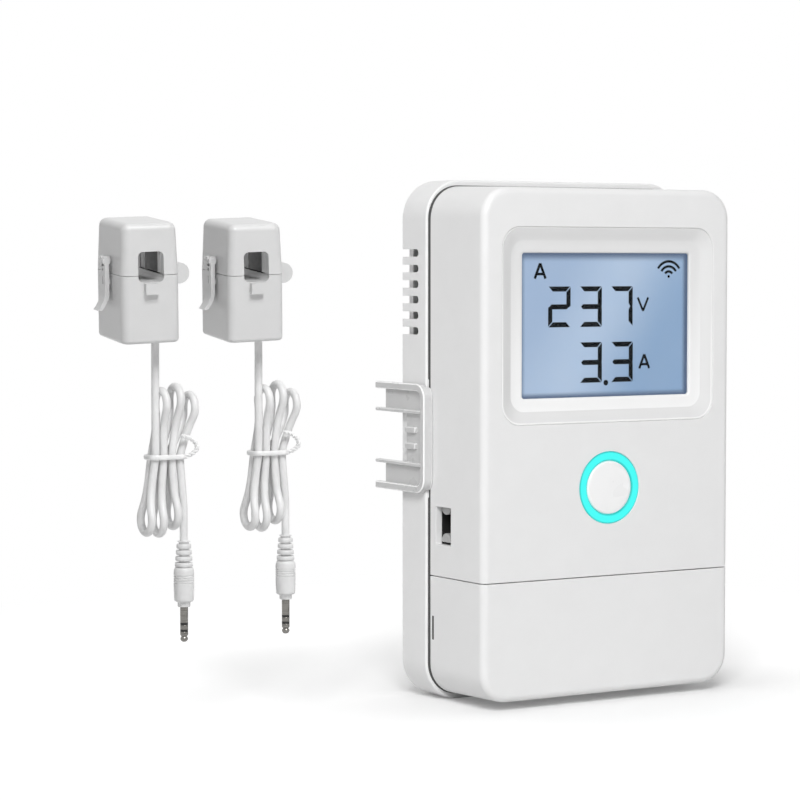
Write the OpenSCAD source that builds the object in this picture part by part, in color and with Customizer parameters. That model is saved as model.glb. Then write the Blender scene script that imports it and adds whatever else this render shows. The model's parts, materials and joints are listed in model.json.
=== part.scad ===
// Smart energy monitor on a rail clip, with two split-core current sensors on tied cords.
// Millimetres, +Z up, the front faces -Y, and the origin is the middle of the rail seat on the back.

/* [Housing] */
// Width of the front face beside the display's recess
side_margin = 7.3; // [6.6:0.1:14]
// Height of the front face
housing_h = 168; // [152:1:190]
// Depth from the front face to the rail seat
unit_d = 47; // [46:0.5:60]
// Depth of the rear shell
rear_d = 15; // [14.5:0.5:18]
// Groove between the front mouldings and the rear shell
groove_w = 1; // [0.6:0.1:1.4]
// How far the rear shell stands proud at each side
rear_step_x = 2; // [1.5:0.1:4]
// How far the rear shell stands proud above and below
rear_step_z = 3; // [1.5:0.1:5]
// Corner radius of the front mouldings
corner_r = 10; // [7:0.5:13]
// Corner radius of the rear shell
rear_corner_r = 13; // [9:0.5:16]
// Radius along the edge of the front face
edge_r = 2.5; // [1:0.25:4]
// How far the sides lean out towards the back
draft = 0.8; // [0.2:0.1:1.2]
// Wall of the mouldings
wall = 2.2; // [1.8:0.1:2.6]
// Back wall of the rear shell
floor_t = 2.5; // [2:0.1:3.5]
// Height of the terminal cover
cover_h = 39.4; // [34:0.2:44]
// Seam between the front shell and the terminal cover
seam_gap = 0.3; // [0.2:0.05:0.6]
// Height of a vent notch
vent_h = 2.5; // [1.5:0.1:3.5]
// Spacing of the vent notches
vent_pitch = 5.2; // [4.2:0.1:5.6]
// Length of a vent notch
vent_l = 10.2; // [6:0.2:11]
// Number of vent notches on each side
vent_count = 6; // [3:1:7]
// Drop of the top vent notch below the top of the front face
vent_drop = 21.3; // [18:0.1:30]

/* [Display] */
// Width of the recess round the display
recess_w = 85.4; // [80:0.2:100]
// Height of the recess round the display
recess_h = 64.6; // [62:0.2:65]
// Drop of the display's middle below the top of the front face
display_drop = 45.2; // [44.6:0.1:48]
// Depth of the recess
dish_d = 1.6; // [1:0.1:2]
// Width of the seen part of the display
display_w = 67.6; // [60:0.2:69]
// Height of the seen part of the display
display_h = 47.6; // [42:0.2:48.6]
// Thickness of the clear window
lens_t = 1; // [0.8:0.1:1.5]
// Thickness of the liquid crystal glass
lcd_t = 2.8; // [2:0.1:3.5]
// Thickness of the backlight
backlight_t = 3.6; // [3:0.1:5]

/* [Button] */
// Rise of the button above the middle of the space between the display and the seam
button_rise = 4.6; // [0:0.1:8]
// Outer radius of the light ring
ring_r = 11.9; // [11:0.1:13]
// Radius of the hole in the light ring
ring_hole_r = 9.15; // [8:0.05:9.5]
// Travel of the button
button_travel = 0.8; // [0.4:0.1:1]

/* [Ports] */
// Distance of the probe port's middle ahead of the rail seat
port_y = 23.7; // [23.2:0.1:26]
// Height of the probe port's middle above the seam
port_rise = 17; // [16.6:0.1:22]
// Width of the probe port
port_w = 8.8; // [7:0.1:9]
// Height of the probe port
port_h = 12.5; // [10:0.1:13]
// Radius of a sensor jack's bore
jack_r = 1.3; // [1.28:0.01:1.4]
// Depth of a sensor jack's bore
jack_l = 11.5; // [9:0.1:12]
// Spacing of the two sensor jacks
jack_pitch = 12; // [9:0.5:13]
// Radius of a wire entry in the terminal block
wire_r = 2.6; // [1.5:0.1:2.8]
// Spacing of the wire entries
wire_pitch = 15; // [9:0.5:16]
// Number of wire entries
wire_count = 4; // [2:1:4]

/* [Rail latch] */
// Width of the mounting rail
rail_w = 35; // [30:0.5:40]
// Thickness of the rail's flange
flange_t = 1; // [0.8:0.1:1.5]
// Height of the latch
latch_h = 36.4; // [34:0.2:40]
// Height of the latch's middle above the unit's middle
latch_z = 1; // [-4:0.5:6]
// How far the latch stands out from the front moulding's side
latch_out = 4.6; // [4:0.1:6]
// How far the latch's ribs reach behind the rail seat
rib_reach = 14; // [9:0.5:16]
// How far the latch's webs reach behind the rail seat
web_reach = 9.5; // [6:0.5:10]
// Travel of the latch
latch_travel = 6; // [4:0.5:7]

/* [Sensors] */
// Place of the first sensor's middle across the set
sensor_x = -160.3; // [-190:0.1:-150]
// Spacing of the two sensors
sensor_pitch = 36; // [35:0.5:45]
// Place of the sensors' middle from front to back
sensor_y = -22.4; // [-30:0.1:-15]
// Height of the sensors' underside
sensor_z = 36; // [30:0.5:45]
// Width of a sensor
sensor_w = 18.5; // [18:0.1:22]
// Depth of a sensor
sensor_d = 26.4; // [22:0.1:28]
// Height of a sensor
sensor_h = 36.8; // [36:0.1:42]
// Height of a sensor's seam above its underside
sensor_seam = 20.8; // [20.2:0.1:22]
// Radius of a sensor's upright edges
sensor_r = 2.6; // [1.5:0.1:4]
// Lean of the sensors towards the viewer, in degrees
sensor_tilt = 6; // [0:0.5:10]
// Turn of the sensors towards the viewer, in degrees
sensor_turn = 7; // [0:0.5:8]
// Side walls of a sensor
sensor_wall = 1.5; // [1.2:0.1:1.8]
// Front and back walls of a sensor
sensor_face_t = 2.6; // [1.8:0.1:3]
// Width of the conductor window
window_w = 8.2; // [7:0.1:9.6]
// Height of the window above the seam
window_up = 7.3; // [5:0.1:8]
// Depth of the window below the seam
window_down = 2; // [1.7:0.1:2.4]
// Corner radius of the window
window_r = 1.6; // [0.8:0.1:1.6]
// Radius of the hinge knuckles
knuckle_r = 3.2; // [2.6:0.1:3.3]
// How far the knuckles stand out from the side
knuckle_out = 4.3; // [4.1:0.1:5]
// Radius of the hinge pin
pin_r = 0.9; // [0.6:0.05:1.2]
// Width of the latch strap
strap_w = 5; // [4.6:0.2:9]
// Thickness of the latch strap
strap_t = 1.3; // [1:0.1:1.8]

/* [Cord] */
// Diameter of the cord
cord_d = 2.5; // [2.2:0.1:2.6]
// Turns in the hank
hank_turns = 3; // [2:1:4]
// Spacing of the strands at the waist
strand_pitch = 2.75; // [2.7:0.05:3.4]
// Radius of the folds at the hank's ends
fold_r = 4.2; // [4:0.1:5]
// Height of the fold centres above and below the waist
fold_z = 17.7; // [16:0.1:18.5]
// How far the loops fan out at the hank's two ends, as a share
hank_fan = 1; // [0:0.1:1]
// Radius of the jack plug's shaft
plug_r = 1.25; // [1.2:0.05:1.25]
// Length of the jack plug's shaft
plug_l = 11; // [9:0.5:14]
// Radius of the plug's moulded body
plug_body_r = 3.2; // [2.6:0.1:4]

/* [Hidden] */
$fn = 48;
hull_fn = 48;
far = 400;
skin = 0.01;
lap = 0.5;

// Clearances
clear = 0.3;
slip = 0.2;
pin_fit = 0.05;

// Thicknesses that set the planes
bezel_floor_t = 1;
board_t = 1.6;
pillar_l = 8.9;

// Planes of the housing, from front to back
front_y = -unit_d;
shell_in_y = front_y + wall;
split_y = -rear_d - groove_w;
rim_y = -rear_d;
lens_y = front_y + dish_d + bezel_floor_t;
lcd_y = lens_y + lens_t;
backlight_y = lcd_y + lcd_t;
board_y = backlight_y + backlight_t;
board_back_y = board_y + board_t;
power_back_y = -floor_t - pillar_l;
power_y = power_back_y - board_t;
seam_z = cover_h - housing_h / 2;
housing_w = recess_w + 2 * side_margin;
display_z = housing_h / 2 - display_drop;
port_z = seam_z + port_rise;

// Outlines of the housing
inner_w = housing_w - 2 * wall;
inner_h = housing_h - 2 * wall;
inner_r = corner_r - wall;
rear_w = housing_w + 2 * rear_step_x;
rear_h = housing_h + 2 * rear_step_z;
vent_top = housing_h / 2 - vent_drop;
lip_t = 1.4;
lip_reach = 3;
rim_t = 1.6;
lip_w = inner_w - 2 * clear;
lip_h = inner_h - 2 * clear;
lip_inner_x = lip_w / 2 - lip_t;
lip_inner_z = lip_h / 2 - lip_t;

// Screw bosses
boss_r = 3.4;
post_r = 4.4;
screw_r = 1.4;
screw_head_r = 2.8;
screw_head_t = 2;
screw_l = 18;
screw_seat = 8;
boss_x = lip_inner_x - clear - boss_r;
boss_top_z = lip_inner_z - clear - boss_r;
boss_sink = 1.5;
boss_low_z = seam_z + wall + boss_r - boss_sink;
bosses = [for (x = [-1, 1], z = [boss_top_z, boss_low_z]) [x * boss_x, z]];

// Display stack
bezel_flange = 1.5;
bezel_flange_t = 1.2;
recess_r = 7;
dish_slope = 4.6;
window_corner_r = 1;
lens_lap = 2;
lcd_lap = 3.2;
strip_h = 2.4;
strip_side = 4;

// Button stack, kept clear of the display's flange when the housing is short
bezel_bottom = display_z - recess_h / 2 - bezel_flange;
ring_flange = 1.7;
button_z = min((bezel_bottom + seam_z) / 2 + button_rise, bezel_bottom - ring_r - ring_flange - clear);
cap_r = ring_hole_r - 0.25;
ring_lip = 2;
cap_flange = 0.9;
cap_t = 2.2;
cap_proud = 0.2;
stem_r = 2.2;
switch_w = 6.2;
switch_t = 3.4;
plunger_r = 1.7;
plunger_t = 0.3;
led_w = 1.6;
led_t = 0.8;
led_count = 4;

// Boards and what they carry
board_margin = 4;
standoff_margin = 4;
power_margin = 3;
pillar_margin = 8;
board_w = 2 * (lip_inner_x - board_margin / 2);
board_top = boss_top_z + 2.5;
board_bottom = seam_z + seam_gap / 2 + wall + clear;
standoff_r = 2.5;
standoff_x = 25;
standoffs = [for (x = [-1, 1], z = [boss_top_z, board_bottom + standoff_margin]) [x * standoff_x, z]];
board_screw_r = 1.2;
board_screw_head_r = 2.2;
board_screw_head_t = 1.6;
board_screw_l = 5;
pillar_r = 3;
power_w = 2 * (lip_inner_x - board_margin);
power_top = boss_top_z - post_r - 2;
power_bottom = -lip_inner_z + power_margin;
pillar_x = 36;
pillar_top = power_top - pillar_margin;
pillar_bottom = power_bottom + pillar_margin;
link_w = 20.3;
link_h = 5;
upper_drop = 15;
middle_drop = 44;
lower_drop = 80;
upper_row = power_top - upper_drop;
middle_row = power_top - middle_drop;
lower_row = power_top - lower_drop;
link_at = [-28, upper_row];
transformer_w = 18;
transformer_h = 20;
transformer_t = 16;
transformer_at = [-19, middle_row];
capacitor_r = 5;
capacitor_l = 16;
capacitor_at = [5, middle_row];
fuse_r = 2.6;
fuse_l = 20;
fuse_at = [24, middle_row];
chip_w = 10;
chip_t = 2;
chip_at = [0, lower_row];
radio_w = 18;
radio_h = 25.5;
radio_t = 3.1;
radio_drop = 23;
radio_at = [24, board_top - radio_drop];

// Terminals
block_w = wire_count * wire_pitch;
block_h = 16;
block_t = 18;
block_rise = 2.5;
block_bottom = power_bottom + block_rise;
wire_drop = 11;
wire_l = 9;
pole_gap = 0.2;
wire_y = power_y - wire_drop;
terminal_screw_r = 2.4;
terminal_screw_head_t = 1.8;
terminal_seat_y = power_y - block_t + terminal_screw_head_t + lap;
slot_margin = 1.6;
slit_w = 1.3;
slit_h = 8;
slit_drop = 17.4;
slit_z = seam_z - slit_drop;

// Ports
socket_x = lip_inner_x - clear;
socket_l = 13;
socket_wall = 1.1;
socket_deep = 10;
contact_t = 0.6;
contact_pitch = 2;
jack_body_w = 8;
jack_body_l = 12.5;
jack_nose_r = 2.9;
jack_drop = 11;
jack_y = power_y - jack_drop;
jack_z = boss_low_z + post_r + clear + (jack_body_w + jack_pitch) / 2;

// Rail latch
latch_x = housing_w / 2 + draft + latch_out - 0.8;
latch_in_x = housing_w / 2 + rear_step_x + clear;
latch_wall = 2.4;
latch_front_y = split_y - latch_wall + 0.6;
latch_corner_r = 5;
outer_rib = 2.4;
inner_rib = 1.2;
web_t = 0.8;
arm_h = 10;
pad_l = 13;
grip_h = 2;
grip_at = 2.7;
grip_t = 1.1;
bar_h = 6.4;
bar_t = 3;
bar_z = latch_h / 2 - arm_h / 2;
hook_lap = 2.3;
hook_w = 5;
guide_t = 1.8;
guide_w = 6;
guide_x = 43;

// Sensors, each in its own frame with the origin under its middle
floor_s = 1.8;
shelf_t = 1.6;
jaw_gap = 0.15;
jaw_draft = 0.5;
jaw_top_r = 2.4;
base_r = 1.2;
tilt_turn = 31;
roof_t = 2.2;
hinge_x = sensor_w / 2 + knuckle_out - knuckle_r;
knuckle_l = 6;
knuckle_gap = 0.3;
pin_cap = 1;
pin_half = 1.5 * knuckle_l + knuckle_gap;
cavity_x = sensor_w / 2 - sensor_wall;
cavity_y = sensor_d / 2 - sensor_face_t;
leg_in = window_w / 2 + 0.3;
leg_out = hinge_x - knuckle_r - 0.2;
core_fit = 0.1;
shelf_z = sensor_seam - window_down - shelf_t;
coil_z = (shelf_z + floor_s) / 2 + 1;
yoke_h = 4;
yoke_d = 5.2;
bobbin_r = 3.4;
bobbin_t = 0.4;
flange_r = 5.6;
winding_r = 5.2;
coil_l = 2 * leg_in - 0.4;
strap_gap = 0.8;
strap_y = -0.5;
strap_top = sensor_seam + 4;
strap_bend = sensor_seam - 5.6;
strap_end = sensor_seam - 11.2;
strap_flare = 2.4;
barrel_r = 1.2;
barrel_x = -(sensor_w / 2 + 1.45);
trunnion_r = 0.65;
lug_w = 1.8;
lug_h = 2.4;
lug_room = 0.6;
peg_w = 4.4;
peg_h = 3.4;
peg_out = 1.8;
nub_out = 0.45;
cord_x = 4.8;
grommet_r = 2;
grommet_flange = 0.5;
grommet_flange_t = 1.2;

// The cord's route, in the sensor's frame: straight down, through the hank, down to the plug
waist_y = 1.6;
waist_drop = 36.8;
hank_start = fold_z + fold_r + cord_d;
hank_end = fold_z + fold_r + 2;
tail_l = 2.5;
fold_a = 30;
run_steps = 3;
fold_steps = 6;
cord_sides = 8;
hank_sides = 6;
fold_join_z = fold_z - fold_r * sin(fold_a);
fold_join_y = fold_r * cos(fold_a);
draw_in = fold_join_y - waist_y;
join_slope = tan(fold_a) * fold_join_z;
bow_2 = (3 * draw_in - join_slope) / pow(fold_join_z, 2);
bow_3 = (join_slope - 2 * draw_in) / pow(fold_join_z, 3);
cord_y = -waist_y;
upper_lift = [-1.2, 0, -2.6];
lower_lift = [1.7, 2.2, 0.1];
upper_shift = [0, 2.1, 4.2];
lower_shift = [-2.5, -1.15, 1, 1.3];
plug_x = cord_x + hank_turns * strand_pitch + low_shift(hank_turns);
plug_z = -waist_drop - hank_end - tail_l;
boot_l = 8;
boot_top_r = 2.1;
boot_end_r = 2.5;
boot_rib = 0.4;
boot_ribs = 4;
body_l = 11;
collar_r = 2;
collar_l = 1.6;
band_l = 0.7;
sleeve_l = 5;
tip_l = 3.2;
tie_t = 0.8;
tie_h = 1.6;
tie_gap = 0.3;
twist_r = 0.6;
twist_route = [
    [0, 0, 0], [2.4, -0.6, 0.9], [4.2, -0.8, 2.4], [3.4, -0.9, 4.4], [1.4, -0.9, 6], [-1.4, -0.8, 6.6]];

// How far each fold stands beyond the rest, as loops wound by hand do
function up_lift(i) = upper_lift[i % len(upper_lift)];
function low_lift(i) = lower_lift[i % len(lower_lift)];
function up_shift(i) = hank_fan * upper_shift[min(max(i, 0), len(upper_shift) - 1)];
function low_shift(i) = hank_fan * lower_shift[min(i, len(lower_shift) - 1)];
function stretched(p, lift) = [p[0], p[1], p[2] * (1 + lift / fold_join_z)];

// Distance of a strand from the hank's middle plane, at a height z between the folds
function strand_y(z) = waist_y + bow_2 * z * z + bow_3 * pow(abs(z), 3);

// Share of the way from the waist to the lower and to the upper folds
function down(z) = min(1, max(0, -z / fold_join_z));
function up(z) = min(1, max(0, z / fold_join_z));

// A back run climbs one strand spacing along its upper half
function front_point(i, z) = [
    i * strand_pitch + low_shift(i) * down(z) + up_shift(i - 1) * up(z), -strand_y(z), z];
function back_point(i, z) = [
    i * strand_pitch + low_shift(i) * down(z) + (strand_pitch + up_shift(i)) * up(z), strand_y(z), z];

// Fold angles run from one join to the other, past the end of the hank
function fold_angle(k) = -fold_a + k * (180 + 2 * fold_a) / fold_steps;
function lower_fold(i, a) = [
    i * strand_pitch + low_shift(i), -fold_r * cos(a), -fold_z - fold_r * sin(a)];
function upper_fold(i, a) = [
    (i + 1) * strand_pitch + up_shift(i), fold_r * cos(a), fold_z + fold_r * sin(a)];

function loop_points(i) = concat(
    [for (k = [0 : run_steps - 1]) stretched(front_point(i, -k * fold_join_z / run_steps), low_lift(i))],
    [for (k = [0 : fold_steps]) lower_fold(i, fold_angle(k)) - [0, 0, low_lift(i)]],
    [for (k = [1 : 2 * run_steps - 1])
        let (z = (k / run_steps - 1) * fold_join_z)
        stretched(back_point(i, z), z < 0 ? low_lift(i) : up_lift(i))],
    [for (k = [0 : fold_steps]) upper_fold(i, fold_angle(k)) + [0, 0, up_lift(i)]],
    [for (k = [run_steps - 1 : -1 : 1])
        stretched(front_point(i + 1, k * fold_join_z / run_steps), up_lift(i))]
);

straight_rings = 4;
hank_points = concat(
    [for (k = [0 : straight_rings]) [0, -waist_y, hank_start * (1 - k / (straight_rings + 1))]],
    [for (i = [0 : hank_turns - 1]) each loop_points(i)],
    [for (k = [0 : run_steps])
        [hank_turns * strand_pitch + low_shift(hank_turns) * k / run_steps,
            -waist_y, -k * fold_join_z / run_steps]],
    [for (z = [hank_end - cord_d, hank_end]) [plug_x - cord_x, -waist_y, -z]]
);

function path_length(p) = len(p) < 2 ? 0
    : [for (i = [1 : len(p) - 1]) norm(p[i] - p[i - 1])] * [for (i = [1 : len(p) - 1]) 1];

// Points more than this many rings apart count as different strands
strand_skip = 8;
last_ring = len(hank_points) - 1;
hank_gap = min([for (i = [0 : last_ring - strand_skip], j = [i + strand_skip : last_ring])
    norm(hank_points[i] - hank_points[j])]) - cord_d;
echo(hank_least_gap = hank_gap);
echo(cord_length = path_length(hank_points) + waist_drop - hank_start + tail_l);

function unit(v) = v / norm(v);
function tangent(p, i) = unit(p[min(i + 1, len(p) - 1)] - p[max(i - 1, 0)]);
function across(t) = unit([1, 0, 0] - t[0] * t);

// A closed tube of radius r round the points p
module tube(p, r, sides) {
    n = len(p);
    rings = [for (i = [0 : n - 1])
        let (t = tangent(p, i), u = across(t), v = cross(t, u))
        for (k = [0 : sides - 1]) p[i] + r * (cos(360 * k / sides) * u + sin(360 * k / sides) * v)];
    walls = [for (i = [0 : n - 2], k = [0 : sides - 1])
        let (a = i * sides + k, b = i * sides + (k + 1) % sides)
        each [[a, a + sides, b], [b, a + sides, b + sides]]];
    caps = [for (k = [1 : sides - 2])
        each [[0, k, k + 1], [(n - 1) * sides, (n - 1) * sides + k + 1, (n - 1) * sides + k]]];
    polyhedron(points = rings, faces = concat(walls, caps), convexity = 10);
}

// A rectangle with round corners
module round_rect(w, h, r) {
    square([w - 2 * r, h], center = true);
    square([w, h - 2 * r], center = true);
    for (x = [-1, 1], y = [-1, 1]) translate([x * (w / 2 - r), y * (h / 2 - r)]) circle(r);
}

// A round-cornered plate in the XZ plane, between two depths
module plate(w, h, r, y0, y1) {
    translate([0, y1, 0]) rotate([90, 0, 0]) linear_extrude(y1 - y0) round_rect(w, h, r);
}

// A box between two corners
module box(low, high) {
    translate(low) cube(high - low);
}

module rod_y(r, y0, y1) {
    translate([0, y1, 0]) rotate([90, 0, 0]) cylinder(r = r, h = y1 - y0);
}

module rod_x(r, x0, x1) {
    translate([x0, 0, 0]) rotate([0, 90, 0]) cylinder(r = r, h = x1 - x0);
}

// The block that both front mouldings are cut from: round front edge, sides leaning out
module housing_block() {
    hull() {
        for (a = [0 : 15 : 90])
            let (y = front_y + edge_r * (1 - sin(a)), inset = edge_r * (1 - cos(a)))
            plate(
                housing_w - 2 * inset, housing_h - 2 * inset, corner_r - inset,
                y, y + skin, $fn = hull_fn);
        plate(
            housing_w + 2 * draft, housing_h + 2 * draft, corner_r + draft,
            split_y - skin, split_y, $fn = hull_fn);
    }
}

// Room for the rear moulding's lip, with clearance
module lip_room() {
    difference() {
        plate(inner_w, inner_h, inner_r, split_y - lip_reach - clear, split_y + lap);
        plate(2 * (lip_inner_x - clear), 2 * (lip_inner_z - clear), inner_r - 2 * clear - lip_t, -far, far);
    }
}

module front_shell() {
    low = seam_z + seam_gap / 2;
    color("#E8E8E8") difference() {
        union() {
            difference() {
                housing_block();
                box([-far, -far, -far], [far, far, low]);
                difference() {
                    plate(inner_w, inner_h, inner_r, shell_in_y, split_y + lap);
                    box([-far, -far, -far], [far, split_y - lip_reach - clear, low + wall]);
                }
            }
            difference() {
                for (p = bosses) translate([p[0], 0, p[1]]) rod_y(boss_r, shell_in_y - lap, split_y);
                lip_room();
            }
            for (p = standoffs) translate([p[0], 0, p[1]]) rod_y(standoff_r, shell_in_y - lap, board_y);
        }
        translate([0, 0, display_z]) plate(recess_w, recess_h, recess_r, front_y - lap, shell_in_y + lap);
        translate([0, 0, button_z]) rod_y(ring_r + slip, front_y - lap, shell_in_y + lap);
        translate([0, -port_y, port_z])
            box([-far, -port_w / 2, -port_h / 2], [-inner_w / 2 + lap, port_w / 2, port_h / 2]);
        for (s = [-1, 1]) translate([0, jack_y, jack_z + s * jack_pitch / 2])
            rod_x(jack_nose_r + slip, inner_w / 2 - lap, far);
        for (p = bosses) translate([p[0], 0, p[1]]) rod_y(screw_r + 0.1, split_y - screw_l, split_y + lap);
        for (p = standoffs) translate([p[0], 0, p[1]])
            rod_y(board_screw_r + 0.1, board_y - board_screw_l, board_y + lap);
    }
}

module terminal_cover() {
    color("#E6E6E6") difference() {
        housing_block();
        box([-far, -far, seam_z - seam_gap / 2], [far, far, far]);
        plate(inner_w, inner_h, inner_r, shell_in_y, split_y + lap);
        translate([0, wire_y, 0]) box(
            [-block_w / 2, -wire_r - slot_margin, -far],
            [block_w / 2, wire_r + slot_margin, -inner_h / 2 + lap]);
        for (s = [-1, 1]) translate([s * housing_w / 2, split_y - slit_w, slit_z])
            cube([4 * wall, slit_w, slit_h], center = true);
    }
}

// Hooks behind the rail's right flange and bridges over the latch's bars
module rail_fittings() {
    for (s = [-1, 1]) translate([0, 0, latch_z + s * bar_z]) {
        box(
            [rail_w / 2 + clear, -lap, -bar_h / 2],
            [rail_w / 2 + clear + hook_w, flange_t + lap + bar_t, bar_h / 2]);
        box(
            [rail_w / 2 - hook_lap, flange_t + lap, -bar_h / 2],
            [rail_w / 2 + 2 * clear, flange_t + lap + bar_t, bar_h / 2]);
        for (z = [-1, 1]) translate([-guide_x, 0, z * (bar_h / 2 + clear + guide_t / 2)])
            box(
                [-guide_w / 2, -lap, -guide_t / 2],
                [guide_w / 2, bar_t + 2 * clear + guide_t, guide_t / 2]);
        translate([-guide_x, bar_t + 2 * clear, 0])
            box(
                [-guide_w / 2, 0, -bar_h / 2 - clear - guide_t],
                [guide_w / 2, guide_t, bar_h / 2 + clear + guide_t]);
    }
}

module rear_shell() {
    color("#DDDDDD") difference() {
        union() {
            difference() {
                plate(rear_w, rear_h, rear_corner_r, rim_y, 0);
                plate(rear_w - 2 * wall, rear_h - 2 * wall, rear_corner_r - wall, rim_y + rim_t, -floor_t);
                plate(
                    2 * lip_inner_x, 2 * lip_inner_z, inner_r - clear - lip_t,
                    rim_y - lap, rim_y + rim_t + lap);
                for (s = [-1, 1], i = [0 : vent_count - 1])
                    translate([s * rear_w / 2, -vent_l + vent_h / 2, vent_top - i * vent_pitch]) {
                    box([-wall - lap, 0, -vent_h / 2], [wall + lap, vent_l + lap, vent_h / 2]);
                    rod_x(vent_h / 2, -wall - lap, wall + lap);
                }
            }
            difference() {
                plate(lip_w, lip_h, inner_r - clear, split_y - lip_reach, rim_y + lap);
                plate(2 * lip_inner_x, 2 * lip_inner_z, inner_r - clear - lip_t, -far, far);
            }
            for (p = bosses) translate([p[0], 0, p[1]]) rod_y(post_r, split_y + slip, -floor_t + lap);
            for (x = [-1, 1], z = [pillar_top, pillar_bottom]) translate([x * pillar_x, 0, z])
                rod_y(pillar_r, power_back_y, -floor_t + lap);
            rail_fittings();
        }
        for (p = bosses) translate([p[0], 0, p[1]]) {
            rod_y(screw_r + slip, split_y - lap, lap);
            rod_y(screw_head_r + slip, -screw_seat, lap);
        }
    }
}

module display_bezel() {
    color("#EEEEEE") translate([0, 0, display_z]) difference() {
        union() {
            plate(
                recess_w - 2 * slip, recess_h - 2 * slip, recess_r - slip,
                front_y + slip, shell_in_y + lap);
            plate(
                recess_w + 2 * bezel_flange, recess_h + 2 * bezel_flange, recess_r + bezel_flange,
                shell_in_y, shell_in_y + bezel_flange_t);
        }
        hull() {
            plate(recess_w - 1, recess_h - 1, recess_r - slip, front_y - skin, front_y, $fn = hull_fn);
            plate(
                recess_w - 2 * dish_slope, recess_h - 2 * dish_slope, recess_r - slip,
                front_y + dish_d - skin, front_y + dish_d, $fn = hull_fn);
        }
        plate(display_w, display_h, window_corner_r, front_y, far);
        plate(
            display_w + 2 * lens_lap + 2 * slip, display_h + 2 * lens_lap + 2 * slip,
            window_corner_r, lens_y, far);
    }
}

module display_lens() {
    color("#DDE8F2") translate([0, 0, display_z])
        plate(display_w + 2 * lens_lap, display_h + 2 * lens_lap, window_corner_r, lens_y, lcd_y);
}

module lcd_panel() {
    color("#9DB3D0") translate([0, 0, display_z])
        plate(display_w + 2 * lcd_lap, display_h + 2 * lcd_lap, window_corner_r, lcd_y, backlight_y);
}

module backlight_panel() {
    color("#F4F8FF") translate([0, 0, display_z])
        plate(
            display_w + 2 * lcd_lap, display_h + 2 * lcd_lap - 2 * strip_side,
            window_corner_r, backlight_y, board_y);
}

module lcd_strips() {
    color("#F09AB0") for (s = [-1, 1])
        translate([0, 0, display_z + s * (display_h / 2 + lcd_lap - strip_side / 2)])
            box([-display_w / 2, backlight_y, -strip_h / 2], [display_w / 2, board_y, strip_h / 2]);
}

module light_ring() {
    color("#5CFFFF") translate([0, 0, button_z]) difference() {
        union() {
            rod_y(ring_r, front_y, board_y - led_t);
            rod_y(ring_r + ring_flange, shell_in_y, shell_in_y + bezel_flange_t);
        }
        rod_y(ring_hole_r, front_y - lap, far);
        rod_y(ring_hole_r + cap_flange + slip, front_y + ring_lip, far);
    }
}

module status_leds() {
    ring_mid = (ring_r + ring_hole_r + cap_flange) / 2;
    color("#FFFFFF") translate([0, 0, button_z]) for (i = [0 : led_count - 1])
        rotate([0, i * 360 / led_count, 0]) translate([ring_mid, 0, 0])
            box([-led_w / 2, board_y - led_t, -led_w / 2], [led_w / 2, board_y, led_w / 2]);
}

module button_cap() {
    back_y = front_y + ring_lip + slip;
    color("#F0F0F0") translate([0, 0, button_z]) {
        rod_y(cap_r, front_y - cap_proud, back_y + cap_t / 2);
        rod_y(cap_r + cap_flange - slip / 4, back_y, back_y + cap_t / 2);
        rod_y(stem_r, back_y, board_y - switch_t - plunger_t - button_travel - slip);
    }
}

module button_switch() {
    color("#303030") translate([0, 0, button_z]) {
        box([-switch_w / 2, board_y - switch_t, -switch_w / 2], [switch_w / 2, board_y, switch_w / 2]);
        rod_y(plunger_r, board_y - switch_t - plunger_t, board_y - switch_t + lap);
    }
}

module main_board() {
    color("#2F6B45") difference() {
        box([-board_w / 2, board_y, board_bottom], [board_w / 2, board_back_y, board_top]);
        for (p = bosses) translate([p[0], 0, p[1]]) rod_y(boss_r + clear, -far, far);
        for (p = standoffs) translate([p[0], 0, p[1]]) rod_y(board_screw_r + slip, -far, far);
    }
}

module board_screws() {
    color("#C0C0C0") for (p = standoffs) translate([p[0], 0, p[1]]) {
        rod_y(board_screw_head_r, board_back_y, board_back_y + board_screw_head_t);
        rod_y(board_screw_r, board_y - board_screw_l + lap, board_back_y + lap);
    }
}

module power_board() {
    color("#2F6B45") difference() {
        box([-power_w / 2, power_y, power_bottom], [power_w / 2, power_back_y, power_top]);
        for (p = bosses) translate([p[0], 0, p[1]]) rod_y(post_r + clear, -far, far);
    }
}

// A block that stands on the mains board
module on_power_board(at, w, h, t) {
    translate([at[0], 0, at[1]]) box([-w / 2, power_y - t, -h / 2], [w / 2, power_y, h / 2]);
}

module board_link() {
    color("#202020") on_power_board(link_at, link_w, link_h, power_y - board_back_y);
}

module transformer() {
    color("#E8C23A") on_power_board(transformer_at, transformer_w, transformer_h, transformer_t);
}

module filter_capacitor() {
    color("#3A3F4A") translate([capacitor_at[0], 0, capacitor_at[1]])
        rod_y(capacitor_r, power_y - capacitor_l, power_y);
}

module fuse() {
    color("#D8D8D0") translate([fuse_at[0], power_y - fuse_r - slip, fuse_at[1]])
        cylinder(r = fuse_r, h = fuse_l, center = true);
}

module metering_chip() {
    color("#282828") on_power_board(chip_at, chip_w, chip_w, chip_t);
}

module radio_module() {
    color("#C8C8C8") translate([radio_at[0], 0, radio_at[1]])
        box([-radio_w / 2, board_back_y, -radio_h / 2], [radio_w / 2, board_back_y + radio_t, radio_h / 2]);
}

// Middles of the wire entries across the block
wire_xs = [for (i = [0 : wire_count - 1]) (i - (wire_count - 1) / 2) * wire_pitch];

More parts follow.
